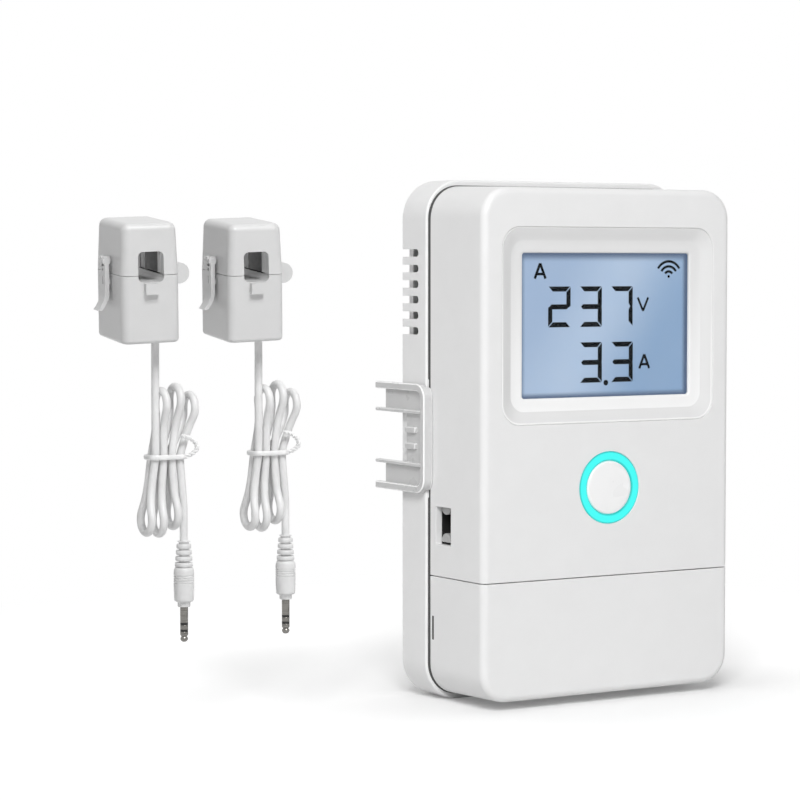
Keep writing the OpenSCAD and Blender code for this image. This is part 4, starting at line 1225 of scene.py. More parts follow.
@dataclass
class Studio:
    """Camera, lamps and the pale floor.

    Attributes:
        eye_mm: camera place.
        heading: degrees to the right of straight ahead.
        dip: degrees below the horizon.
        lens_mm: focal length on a 36 mm sensor.
        floor_z_mm: height of the floor.
        floor_half_mm: half the floor's width.
    """

    eye_mm: tuple[float, float, float] = (-506.5, -756.8, 58.2)
    heading: float = 30.93
    dip: float = 2.916
    lens_mm: float = 118.02
    floor_z_mm: float = -87.05
    floor_half_mm: float = 12000.0

    def build_camera(self) -> None:
        """Makes the camera at the photograph's place and angle."""
        data = bpy.data.cameras.new("camera")
        data.lens = self.lens_mm
        data.sensor_width = 36.0
        data.clip_start = 0.05
        data.clip_end = 60.0
        camera = bpy.data.objects.new("camera", data)
        camera.location = [v * MM for v in self.eye_mm]
        camera.rotation_euler = (math.radians(90.0 - self.dip), 0.0, math.radians(-self.heading))
        bpy.context.scene.collection.objects.link(camera)
        bpy.context.scene.camera = camera

    def build_light(self) -> None:
        """Makes a large key lamp from the upper left, one for the sensors alone, and a weak lamp above."""
        meshes = [piece for piece in bpy.data.objects if piece.type == "MESH"]
        sensors = [piece for piece in meshes if piece.name.startswith("ct_")]
        size, sensor_middle = (0.8, 0.8), (-0.14, -0.02, 0.05)
        self._lamp("key", (-0.95, -1.35, 1.15), (-0.04, -0.02, 0.0), size, 30.0, sensors, "EXCLUDE")
        self._lamp("sensor_key", (-0.24, -1.42, 1.47), sensor_middle, size, 32.0, sensors, "INCLUDE")
        self._lamp("top", (-0.05, 0.15, 1.3), (-0.05, -0.02, 0.0), (1.0, 0.8), 2.0)

    @staticmethod
    def _lamp(
        name: str,
        place: tuple[float, float, float],
        target: tuple[float, float, float],
        size: tuple[float, float],
        watts: float,
        linked: Sequence[Object] = (),
        state: str = "INCLUDE",
    ) -> None:
        """Makes one rectangular lamp that faces a point.

        Args:
            name: lamp name.
            place: where it stands, in metres.
            target: what it faces.
            size: width and height.
            watts: power.
            linked: pieces that the lamp is kept to, or kept from.
            state: INCLUDE or EXCLUDE, for the linked pieces.
        """
        data = bpy.data.lights.new(name, "AREA")
        data.shape = "RECTANGLE"
        data.size, data.size_y = size
        data.energy = watts
        lamp = bpy.data.objects.new(name, data)
        lamp.location = place
        lamp.rotation_euler = (Vector(target) - Vector(place)).to_track_quat("-Z", "Y").to_euler()
        bpy.context.scene.collection.objects.link(lamp)
        if linked:
            group = bpy.data.collections.new(f"{name}_pieces")
            for piece in linked:
                group.objects.link(piece)
            for entry in group.collection_objects:
                entry.light_linking.link_state = state
            lamp.light_linking.receiver_collection = group

    def build_surround(self) -> None:
        """Makes the floor and the world, both white to the camera, with the floor keeping the shadow."""
        scene = bpy.context.scene
        scene.view_settings.view_transform = "Standard"
        world = bpy.data.worlds.new("surround")
        scene.world = world
        world.use_nodes = True
        tree = world.node_tree
        tree.nodes.clear()
        seen = self._seen(tree)
        strength = add_node(tree, "MapRange", {"To Min": 0.22, "To Max": 1.0}, {"Value": seen})
        glow = add_node(
            tree, "Background", {"Color": (1.0, 1.0, 1.0, 1.0)}, {"Strength": strength.outputs["Result"]}
        )
        add_node(tree, "OutputWorld", links={"Surface": glow.outputs[0]})
        half = self.floor_half_mm
        corners = np.array([[-half, -half], [half, -half], [half, half], [-half, half]])
        floor = mesh_piece(
            "floor",
            np.column_stack([corners, np.full(4, self.floor_z_mm)]),
            [np.arange(4)[None, :]],
            self._floor_finish(),
        )

    @staticmethod
    def _seen(tree: NodeTree) -> NodeSocket:
        """Tells what is seen from what only lights.

        Args:
            tree: node tree that the nodes go into.

        Returns:
            1 for a ray that the eye, a mirror or clear plastic sends, and 0 for light on its way.
        """
        path = add_node(tree, "LightPath").outputs
        seen = path["Is Camera Ray"]
        for kind in ("Is Glossy Ray", "Is Transmission Ray"):
            seen = add_node(tree, "Math", links={0: seen, 1: path[kind]}, operation="MAXIMUM").outputs[0]
        return seen

    def _floor_finish(self) -> Material:
        """White paper sweep: diffuse, with a glow for the eye that dies away close under the object, painting
        its contact shadow.

        Returns:
            The floor's material.
        """
        material = bpy.data.materials.new("paper_white_sweep")
        material.use_nodes = True
        tree = material.node_tree
        tree.nodes.clear()
        seen = self._seen(tree)
        matt = add_node(tree, "BsdfDiffuse", {"Color": (0.85, 0.85, 0.85, 1.0)})
        open_sky = add_node(tree, "AmbientOcclusion", {"Distance": 150.0 * MM}, samples=16)
        clear = add_node(
            tree, "MapRange", {"From Min": 0.5, "From Max": 1.0}, {"Value": open_sky.outputs["AO"]}
        ).outputs["Result"]
        curve = add_node(tree, "Math", links={0: clear, 1: clear}, operation="MULTIPLY").outputs[0]
        level = add_node(tree, "MapRange", {"To Min": 0.16, "To Max": 0.58}, {"Value": curve})
        glow = add_node(
            tree, "Emission", {"Color": (1.0, 1.0, 1.0, 1.0)}, {"Strength": level.outputs["Result"]}
        )
        both = add_node(tree, "AddShader", links={0: matt.outputs[0], 1: glow.outputs[0]})
        place = add_node(tree, "TexCoord").outputs["Object"]
        flat = add_node(tree, "Mapping", {"Scale": (1.0, 1.0, 0.0)}, {"Vector": place})
        away = add_node(tree, "VectorMath", links={0: flat.outputs[0]}, operation="LENGTH")
        paper = add_node(tree, "Emission", {"Color": (1.0, 1.0, 1.0, 1.0), "Strength": 1.0})
        fade = add_node(
            tree,
            "MapRange",
            {"From Min": 120.0 * MM, "From Max": 300.0 * MM},
            {"Value": away.outputs["Value"]},
            interpolation_type="SMOOTHSTEP",
        ).outputs["Result"]
        near = add_node(tree, "MixShader", links={0: fade, 1: both.outputs[0], 2: paper.outputs[0]})
        pick = add_node(tree, "MixShader", links={0: seen, 1: matt.outputs[0], 2: near.outputs[0]})
        add_node(tree, "OutputMaterial", links={"Surface": pick.outputs[0]})
        return material


@dataclass
class SensorCord:
    """One sensor's cord: straight out of the sensor, through a tied hank, and down into its plug.

    The route repeats the source's: a hank of loops round the X axis, drawn in at the waist and fanned out at
    both ends. x, y and z are counted from the strand that comes from the sensor, at the waist.

    Attributes:
        key: sensor letter.
        sensor_x: place of the sensor's middle.
        diameter: cord diameter.
        turns: loops in the hank.
        pitch: spacing of the strands.
        fold_r: radius of the folds.
        fold_z: height of the fold centres.
        waist: half the distance between front and back strands at the waist.
        fold_a: degrees by which a fold's arc goes past a half turn at either end.
        lift_up: how far each upper fold stands above or below the rest.
        lift_down: the same for each lower fold.
        shift_up: how far each upper fold fans out to the side.
        shift_down: the same for each lower fold and, last, for the strand that runs to the plug.
        sensor_y: depth of the sensor's middle.
        sensor_z: height of the sensor's floor.
        cord_x: how far the cord leaves the sensor to the right of its middle.
        waist_drop: how far the waist lies below the sensor's floor.
        clear: distance that the plug's strand runs on below the lower folds.
        tail: length of the strand from there to the plug.
    """

    key: str
    sensor_x: float
    diameter: float = 2.5
    turns: int = 3
    pitch: float = 2.75
    fold_r: float = 4.2
    fold_z: float = 17.7
    waist: float = 1.6
    fold_a: float = 30.0
    lift_up: tuple[float, ...] = (-1.2, 0.0, -2.6)
    lift_down: tuple[float, ...] = (1.7, 2.2, 0.1)
    shift_up: tuple[float, ...] = (0.0, 2.1, 4.2)
    shift_down: tuple[float, ...] = (-2.5, -1.15, 1.0, 1.3)
    sensor_y: float = -22.4
    sensor_z: float = 36.0
    cord_x: float = 4.8
    waist_drop: float = 36.8
    clear: float = 2.0
    tail: float = 2.5

    @property
    def waist_origin(self) -> np.ndarray:
        """Point on the first strand's plane at the waist, midway between front and back."""
        return np.array([self.sensor_x + self.cord_x, self.sensor_y, self.sensor_z - self.waist_drop])

    @property
    def plug_top(self) -> np.ndarray:
        """Point where the cord enters the plug's boot."""
        drop = self.fold_z + self.fold_r + self.clear + self.tail
        across = self.turns * self.pitch + self.shift_down[-1]
        return self.waist_origin + np.array([across, -self.waist, -drop])

    def _join(self, centre: float) -> float:
        """Height at which a fold's arc ends and the run to the waist starts."""
        return centre - self.fold_r * math.sin(math.radians(self.fold_a))

    def _strand_y(self, z: np.ndarray, centre: float) -> np.ndarray:
        """Bow of a strand: waist + a z^2 + b z^3, meeting the fold's arc with no kink.

        Args:
            z: heights from the waist.
            centre: height of the fold's centre, without sign.

        Returns:
            Distance from the middle plane at each height.
        """
        join = self._join(centre)
        draw = self.fold_r * math.cos(math.radians(self.fold_a)) - self.waist
        slope = math.tan(math.radians(self.fold_a)) * join
        return self.waist + (3 * draw - slope) * (z / join) ** 2 + (slope - 2 * draw) * np.abs(z / join) ** 3

    def _run(self, start_x: float, end_x: float, centre: float, side: float, upper: bool) -> np.ndarray:
        """A run from the waist to a fold: x goes straight across, y follows the strand's bow.

        Args:
            start_x: place across at the waist.
            end_x: place across at the fold.
            centre: height of the fold's centre, without sign.
            side: -1 at the front, 1 at the back.
            upper: the run goes up from the waist, otherwise down.

        Returns:
            Points of the run, from the waist to the fold.
        """
        share = np.linspace(0.0, 1.0, 14)
        z = share * self._join(centre)
        x = start_x + (end_x - start_x) * share
        return np.column_stack([x, side * self._strand_y(z, centre), z if upper else -z])

    def _fold(self, x: float, centre: float, upper: bool) -> np.ndarray:
        """A fold: an arc past the hank's end, from one join to the other.

        Args:
            x: place across.
            centre: height of the arc's centre, without sign.
            upper: at the upper end, from back to front. Otherwise at the lower end, from front to back.

        Returns:
            Points of the arc.
        """
        a = np.radians(np.linspace(-self.fold_a, 180.0 + self.fold_a, 40))
        sign = 1.0 if upper else -1.0
        return np.column_stack(
            [np.full_like(a, x), sign * self.fold_r * np.cos(a), sign * (centre + self.fold_r * np.sin(a))]
        )

    def route(self) -> np.ndarray:
        """Works out the whole centre line, from the sensor's floor to the plug.

        Returns:
            Points about 0.8 mm apart, in millimetres.
        """
        parts = [np.array([[0.0, -self.waist, self.waist_drop], [0.0, -self.waist, 0.3]])]
        for i in range(self.turns):
            low, high = self.fold_z + self.lift_down[i], self.fold_z + self.lift_up[i]
            here, following = i * self.pitch, (i + 1) * self.pitch
            low_x, high_x = here + self.shift_down[i], following + self.shift_up[i]
            parts.append(self._run(here, low_x, low, -1.0, False))
            parts.append(self._fold(low_x, low, False))
            parts.append(self._run(here, low_x, low, 1.0, False)[::-1])
            parts.append(self._run(here, high_x, high, 1.0, True))
            parts.append(self._fold(high_x, high, True))
            parts.append(self._run(following, high_x, high, -1.0, True)[::-1])
        end = self.plug_top - self.waist_origin
        knee = np.array([end[0], -self.waist, -self._join(self.fold_z)])
        parts.append(np.vstack([knee, end]))
        rough = np.vstack(parts)
        keep = np.concatenate([[True], np.linalg.norm(np.diff(rough, axis=0), axis=1) > 1e-4])
        return smooth_path(rough[keep], 0.8, 1.2) + self.waist_origin

    def build(self) -> None:
        path = self.route()
        body = Body.MONITOR
        name = f"ct_{self.key}"
        cord = tube(f"{name}_cord", path, self.diameter / 2, CORD_PVC.build())
        seat(cord, body, "cord_white", f"{name}_lead", f"{name}_hank", f"{name}_tail")
        others = [self._tie(), *self._plug()]

    def _tie(self) -> Object:
        """Twist tie: a flat band round the waist, whose two ends are twisted together into a curl.

        Returns:
            The tie.
        """
        sides = 12
        half_thick, half_wide = 0.38, 0.8
        lay, wind, wire_r = 2.6, 0.36, 0.4
        width = self.turns * self.pitch + self.diameter + 0.6
        depth = 2 * self.waist + self.diameter + 0.6
        middle = self.waist_origin + np.array([self.turns * self.pitch / 2, 0.0, 0.0])
        outline = rounded_outline(width + 0.8, depth + 0.8, self.diameter / 2 + 0.7)
        out = rounded_outline(width + 2.8, depth + 2.8, self.diameter / 2 + 1.7) - outline
        out /= np.linalg.norm(out, axis=1, keepdims=True)
        turn = np.linspace(0.0, 2 * math.pi, sides, endpoint=False)
        flat = outline[:, None] + half_thick * np.cos(turn)[:, None] * out[:, None]
        level = np.broadcast_to(half_wide * np.sin(turn), flat.shape[:2])
        vertices = [np.dstack([flat, level]).reshape(-1, 3) + middle]
        faces = [grid_faces(len(outline), sides, True, True)]
        curl = [(0, 0, 0), (2.4, -0.6, 0.9), (4.2, -0.8, 2.4), (3.4, -0.9, 4.4)]
        curl += [(1.4, -0.9, 6), (-1.4, -0.8, 6.6)]
        root = middle + np.array([width / 2 - 1.0, -depth / 2 - 0.8, 0.0])
        line = smooth_path(np.array(curl), 0.15, 0.7) + root
        upright = (0.0, 1.0, 0.0)
        first, second = sweep_frames(line, upright)
        for phase in (0.0, math.pi):
            spin = (arc_length(line) * 2 * math.pi / lay + phase)[:, None]
            strand = line + wind * (np.cos(spin) * first + np.sin(spin) * second)
            start = sum(len(part) for part in vertices)
            faces += [part + start for part in capped_faces(len(strand), sides)]
            vertices.append(rings_along(strand, wire_r, upright, sides).reshape(-1, 3))
        tie = mesh_piece(f"ct_{self.key}_twist_tie", np.vstack(vertices), faces, TIE_PE.build(), 60.0)
        tidy(tie)
        return seat(tie, Body.MONITOR, "tie_white", f"ct_{self.key}_tie")

    def _plug(self) -> list:
        """Jack plug: ribbed boot, moulded body with finger grooves, three-pole shaft and two black bands.

        Returns:
            The plug's pieces.
        """
        moulding = [(0.0, 0.0), (1.9, 0.0), (2.1, 0.15)]
        for i in range(4):
            h, rib = 0.5 + 1.9 * i, 2.3 + 0.17 * i
            moulding += [(1.55, h), (1.55, h + 0.45), (rib - 0.15, h + 0.5)]
            moulding += [(rib, h + 0.65), (rib, h + 1.7), (rib - 0.15, h + 1.85)]
        moulding += [(1.9, 8.0), (2.2, 8.1), (2.75, 8.35), (3.0, 8.7), (3.15, 9.3), (3.2, 10.0)]
        for i in range(4):
            h = 10.6 + 0.75 * i
            moulding += [(3.2, h), (3.02, h + 0.12), (3.02, h + 0.24), (3.2, h + 0.36)]
        moulding += [(3.2, 14.0), (3.05, 18.2), (2.95, 18.7), (2.6, 18.95), (2.05, 19.0), (2.0, 19.1)]
        moulding += [(2.0, 20.3), (1.85, 20.58), (1.25, 20.6), (0.0, 20.6)]
        shaft = [
            (0.0, 20.6), (1.25, 20.6), (1.25, 25.55), (1.2, 25.6), (0.9, 25.6), (0.9, 26.3), (1.2, 26.3),
            (1.25, 26.35), (1.25, 27.65), (1.2, 27.7), (0.9, 27.7), (0.9, 28.4), (1.2, 28.4), (1.25, 28.45),
            (1.25, 29.35), (1.15, 29.6), (0.9, 29.85), (0.95, 30.1), (1.2, 30.4), (1.22, 30.7), (1.1, 31.1),
            (0.8, 31.45), (0.45, 31.6), (0.0, 31.6),
        ]
        bands = [
            (0.5, 25.6), (1.24, 25.62), (1.24, 26.28), (0.5, 26.3), (0.5, 27.7), (1.24, 27.72), (1.24, 28.38),
            (0.5, 28.4),
        ]
        down = (0.0, 0.0, -1.0)
        start = f"ct_{self.key}_plug"
        pieces = []
        for part, profile, finish, closed, slot, node in (
            ("moulding", moulding, PLUG_PVC, False, "plug_white", "body"),
            ("shaft", shaft, PLUG_NICKEL, False, "plug_plate", "contacts"),
            ("bands", bands, PLUG_BAND, True, "plug_band", "insulators"),
        ):
            turned = lathe(f"{start}_{part}", profile, self.plug_top, down, finish.build(), closed=closed)
            pieces.append(seat(turned, Body.MONITOR, slot, f"{start}_{node}"))
        return pieces


@dataclass
class SplitSensor:
    """One split-core current sensor: two moulded halves, a strap, ferrite cores and the coil inside.

    Attributes:
        key: sensor letter.
        jaw: body of the upper half.
        strap: body of the strap.
    """

    key: str
    jaw: Body
    strap: Body

    def build(self) -> None:
        """Dresses the sensor's halves, strap, cores and inner pieces."""
        name = f"ct_{self.key}"
        for node, part, body, edge_mm in (
            ("base", "lower_half", Body.MONITOR, 0.55),
            ("jaw", "upper_half", self.jaw, 0.35),
            ("latch", "strap", self.strap, 0.3),
        ):
            dress(f"{name}_{node}", f"{name}_{part}", body, "sensor_white", SENSOR_PC, edge_mm, clamp=True)
        for part in ("base_core", "jaw_core"):
            paint(f"{name}_{part}", CORE_ENDS.build(name))
        for part, finish in (
            ("bobbin", NATURAL_NYLON),
            ("winding", COIL_COPPER),
            ("hinge_pin", SENSOR_PC),
            ("grommet", CORD_PVC),
        ):
            paint(f"{name}_{part}", finish.build())


@dataclass
class Display:
    """Dished frame, clear window, backlit glass and the marks that the liquid crystal shows.

    Attributes:
        front_y: depth of the front face.
        centre_z: height of the display's middle.
        recess: width and height of the recess in the front moulding.
        window: width and height of the seen glass.
        ink_y: depth of the dark segments.
        ink: thickness of the dark segments.
        digit: width and height of a digit.
        stroke: width of a digit's bars.
        gap: gap between a digit's bars.
    """

    front_y: float = -47.0
    centre_z: float = 38.8
    recess: tuple[float, float] = (85.4, 64.6)
    window: tuple[float, float] = (67.6, 47.6)
    ink_y: float = -43.46
    ink: float = 0.03
    digit: tuple[float, float] = (8.9, 13.4)
    stroke: float = 1.65
    gap: float = 0.2

    def build(self) -> None:
        """Makes the frame, the window and the marks, and lights the glass."""
        self._frame()
        self._window()
        self._marks()
        glass = BacklitGlass(
            "liquid_crystal_glass_backlit", "#9DB2CD", "#ADC0D7", "#88A3C2", 0.636, (25.0, 34.0), 4.9,
            "#55657E", (0.0, self.centre_z), (self.window[0] / 2, self.window[1] / 2),
            (2.6, 2.0, 2.2, 3.2), 1.0,
        )
        paint("lcd_panel", glass.build())
        paint("backlight_panel", DIFFUSER.build())
        paint("lcd_strips", STRIP_ELASTOMER.build())

    def _frame(self) -> None:
        """The dished frame: a thin lip, a cove that sinks 1.4 mm, a flat band and the window's edge."""
        outer = [
            (3.0, 8.5, 3.4), (3.0, 8.5, 2.2), (-0.1, 6.95, 2.2), (-0.1, 6.95, 0.3), (-0.25, 6.9, 0.1),
            (-0.6, 6.7, 0.02), (-1.0, 6.5, 0.06), (-1.3, 6.4, 0.18),
        ]
        share = np.linspace(0.0, 1.0, 12)[1:]
        sink = 0.18 + (1.6 - 0.18) * (0.7 * share + 0.3 * share**2 * (3 - 2 * share))
        outer += [(-1.3 - 7.9 * s, 6.4 - 1.4 * s, d) for s, d in zip(share, sink)]
        inner = [
            (3.4, 2.6, 1.6), (0.9, 1.3, 1.6), (0.4, 1.1, 1.68), (0.1, 1.0, 1.9), (0.0, 1.0, 2.2),
            (0.0, 1.0, 2.6), (4.4, 1.0, 2.6), (4.4, 1.0, 3.4),
        ]
        stations = self._stations(self.recess, outer) + self._stations(self.window, inner)
        rings = upright_rings(stations, self.centre_z)
        dished = joined_rings("display_frame", rings, FRAME_ABS.build())
        seat(dished, Body.MONITOR, "bezel_white", "display_bezel")

    def _window(self) -> None:
        """The clear window: a plate with softened edges."""
        plate = [(-2.0, 0.6, 2.62), (3.8, 1.0, 2.62), (4.0, 1.0, 2.72), (4.0, 1.0, 3.3), (-2.0, 0.6, 3.4)]
        rings = upright_rings(self._stations(self.window, plate), self.centre_z, 6)
        pane = joined_rings("display_window", rings, WINDOW_ACRYLIC.build(), 30.0, False)
        seat(pane, Body.MONITOR, "clear_window", "display_lens")

    def _stations(self, size: tuple[float, float], steps: Sequence[tuple[float, float, float]]) -> list:
        """Outlines that are evenly larger or smaller than a size.

        Args:
            size: width and height.
            steps: how much larger, the corner radius, and the depth behind the front face.

        Returns:
            Width, height, corner radius and depth y of each outline.
        """
        (w, h), y = size, self.front_y
        return [(w + grow, h + grow, radius, y + depth) for grow, radius, depth in steps]

    def _digit(self, left: float, bottom: float, lit: str) -> list:
        """Seven-segment digit: mitred bars on a box, with a fine gap at every corner.

        Args:
            left: X of the box's left side.
            bottom: Z of the box's underside.
            lit: letters of the lit bars, a at the top, then clockwise, g in the middle.

        Returns:
            Outlines of the lit bars.
        """
        (w, h), t, gap = self.digit, self.stroke, self.gap
        m, half = h / 2, t / 2
        inner, outer, top = half + gap, gap - t / 4, h - t - gap
        left_g, right_g = 0.5 + half, w - 0.9 * t
        bars = {
            "a": [(gap, h), (w - gap, h), (w - t - gap, h - t), (t + gap, h - t)],
            "d": [(gap, 0), (t + gap, t), (w - t - gap, t), (w - gap, 0)],
            "b": [(w, h - gap), (w, m + gap), (w - half, m + outer), (w - t, m + inner), (w - t, top)],
            "c": [(w, gap), (w - t, t + gap), (w - t, m - inner), (w - half, m - outer), (w, m - gap)],
            "f": [(0, h - gap), (t, top), (t, m + inner), (half, m + outer), (0, m + gap)],
            "e": [(0, gap), (0, m - gap), (half, m - outer), (t, m - inner), (t, t + gap)],
            "g": [
                (0.5, m), (left_g, m + half), (right_g, m + half), (w - half, m), (right_g, m - half),
                (left_g, m - half),
            ],
        }
        shapes = []
        for letter in lit:
            shape = np.array(bars[letter]) + [left, bottom]
            x, z = shape[:, 0], shape[:, 1]
            area = np.sum(x * np.roll(z, -1) - np.roll(x, -1) * z)
            shapes.append(shape if area > 0 else shape[::-1])
        return shapes

    @staticmethod
    def _bar(start: Sequence[float], end: Sequence[float], width: float) -> np.ndarray:
        """A straight stroke: its two ends widened across the stroke's direction.

        Args:
            start: first end.
            end: second end.
            width: stroke width.

        Returns:
            Four corners, anticlockwise.
        """
        a, b = np.asarray(start, float), np.asarray(end, float)
        way = (b - a) / np.linalg.norm(b - a)
        side = np.array([-way[1], way[0]]) * width / 2
        return np.array([a - side, b - side, b + side, a + side])

    def _letter_a(self, left: float, bottom: float, width: float, height: float, stroke: float) -> list:
        """The unit letter for current: two slanted strokes and a bar.

        Args:
            left: X of its left side.
            bottom: Z of its foot.
            width: size across.
            height: size up.
            stroke: stroke width.

        Returns:
            Outlines of the strokes.
        """
        peak, bar_z = (left + width / 2, bottom + height), bottom + 0.3 * height
        return [
            self._bar((left + stroke / 2, bottom), peak, stroke),
            self._bar((left + width - stroke / 2, bottom), peak, stroke),
            self._bar((left + 0.24 * width, bar_z), (left + 0.76 * width, bar_z), stroke * 0.9),
        ]

    @staticmethod
    def _arc(centre: Sequence[float], radius: float, width: float, spread: float) -> list:
        """An arch of a given width: short four-sided links between two radii.

        Args:
            centre: middle of the arch.
            radius: radius at the middle of its width.
            width: stroke width.
            spread: degrees to each side of upright.

        Returns:
            Outlines of the links.
        """
        turn = np.radians(90.0 + np.linspace(-spread, spread, 15))
        way = np.column_stack([np.cos(turn), np.sin(turn)])
        inner, outer = centre + way * (radius - width / 2), centre + way * (radius + width / 2)
        return [np.array([outer[i], outer[i + 1], inner[i + 1], inner[i]]) for i in range(len(turn) - 1)]

    def _marks(self) -> None:
        """Dark marks: two rows of digits with their units, the mode letter and three signal arches."""
        shapes = []
        for left, lit in ((-22.5, "abged"), (-9.9, "abgcd"), (2.7, "abc")):
            shapes += self._digit(left, 38.2, lit)
        for left, lit in ((-9.8, "abgcd"), (2.85, "abgcd")):
            shapes += self._digit(left, 19.7, lit)
        turn = np.linspace(0.0, 2 * math.pi, 24, endpoint=False)
        disc = np.column_stack([np.cos(turn), np.sin(turn)])
        shapes.append(disc * 0.95 + [0.75, 19.55])
        shapes += self._letter_a(-28.3, 54.2, 5.2, 5.0, 0.95)
        shapes += self._letter_a(14.0, 24.0, 5.0, 4.7, 0.9)
        foot = (15.9, 43.3)
        shapes += [self._bar((13.7, 47.8), foot, 0.8), self._bar((18.0, 47.8), foot, 0.8)]
        middle = np.array([26.5, 54.6])
        for radius in (1.9, 3.6, 5.3):
            shapes += self._arc(middle, radius, 0.85, 52.0 if radius < 3.0 else 57.0)
        shapes.append(disc * 0.5 + middle + [0.0, 0.2])
        marks = prisms("display_marks", shapes, self.ink_y, self.ink_y + self.ink, CRYSTAL_INK.build())
        seat(marks, Body.MONITOR, "plug_band")


@dataclass
class Button:
    """Round push button inside a glowing ring.

    Attributes:
        centre_z: height of the button's middle.
        front_y: depth of the front face.
        ring: radius of the ring's hole and of its outside.
    """

    centre_z: float = -15.2
    front_y: float = -47.0
    ring: tuple[float, float] = (9.15, 11.9)

    def build(self) -> None:
        """Makes the ring and the cap, and dresses the switch and the lamps behind them."""
        origin = (0.0, self.front_y, self.centre_z)
        back = (0.0, 1.0, 0.0)
        inner, outer = self.ring
        ring = [
            (inner, 0.25), (9.2, 0.1), (9.35, 0.02), (9.5, 0.0), (11.6, 0.0), (11.75, 0.02), (11.87, 0.1),
            (outer, 0.25), (outer, 2.2), (13.6, 2.2), (13.6, 3.4), (outer, 3.4), (outer, 9.2), (10.25, 9.2),
            (10.25, 2.0), (inner, 2.0),
        ]
        # Frosted polycarbonate over small lamps: an even turquoise light with thin, deeper rims.
        glow = RingGlow(
            "polycarbonate_frosted_light_guide", "#34F2EC", "#22BDB8", self.centre_z, inner, outer, 0.5, 1.0
        )
        guide = lathe("button_light_ring", ring, origin, back, glow.build(), 128, True)
        seat(guide, Body.MONITOR, "light_guide", "light_ring")
        cap = [(0.0, -0.2)]
        cap += [(8.2 * s, -0.2 + 0.1 * s**2) for s in np.linspace(0.1, 1.0, 12)]
        cap += [
            (8.55, -0.02), (8.75, 0.12), (8.87, 0.35), (8.9, 0.6), (8.9, 2.25), (9.7, 2.25), (9.7, 3.25),
            (2.2, 3.3), (2.2, 5.1), (0.0, 5.1),
        ]
        moulding = lathe("button_cap_moulding", cap, origin, back, BUTTON_ABS.build(), 128)
        seat(moulding, Body.BUTTON, "button_white", "button_cap")
        paint("button_switch", BLACK_NYLON.build())
        paint("status_leds", LAMP_EPOXY.build())


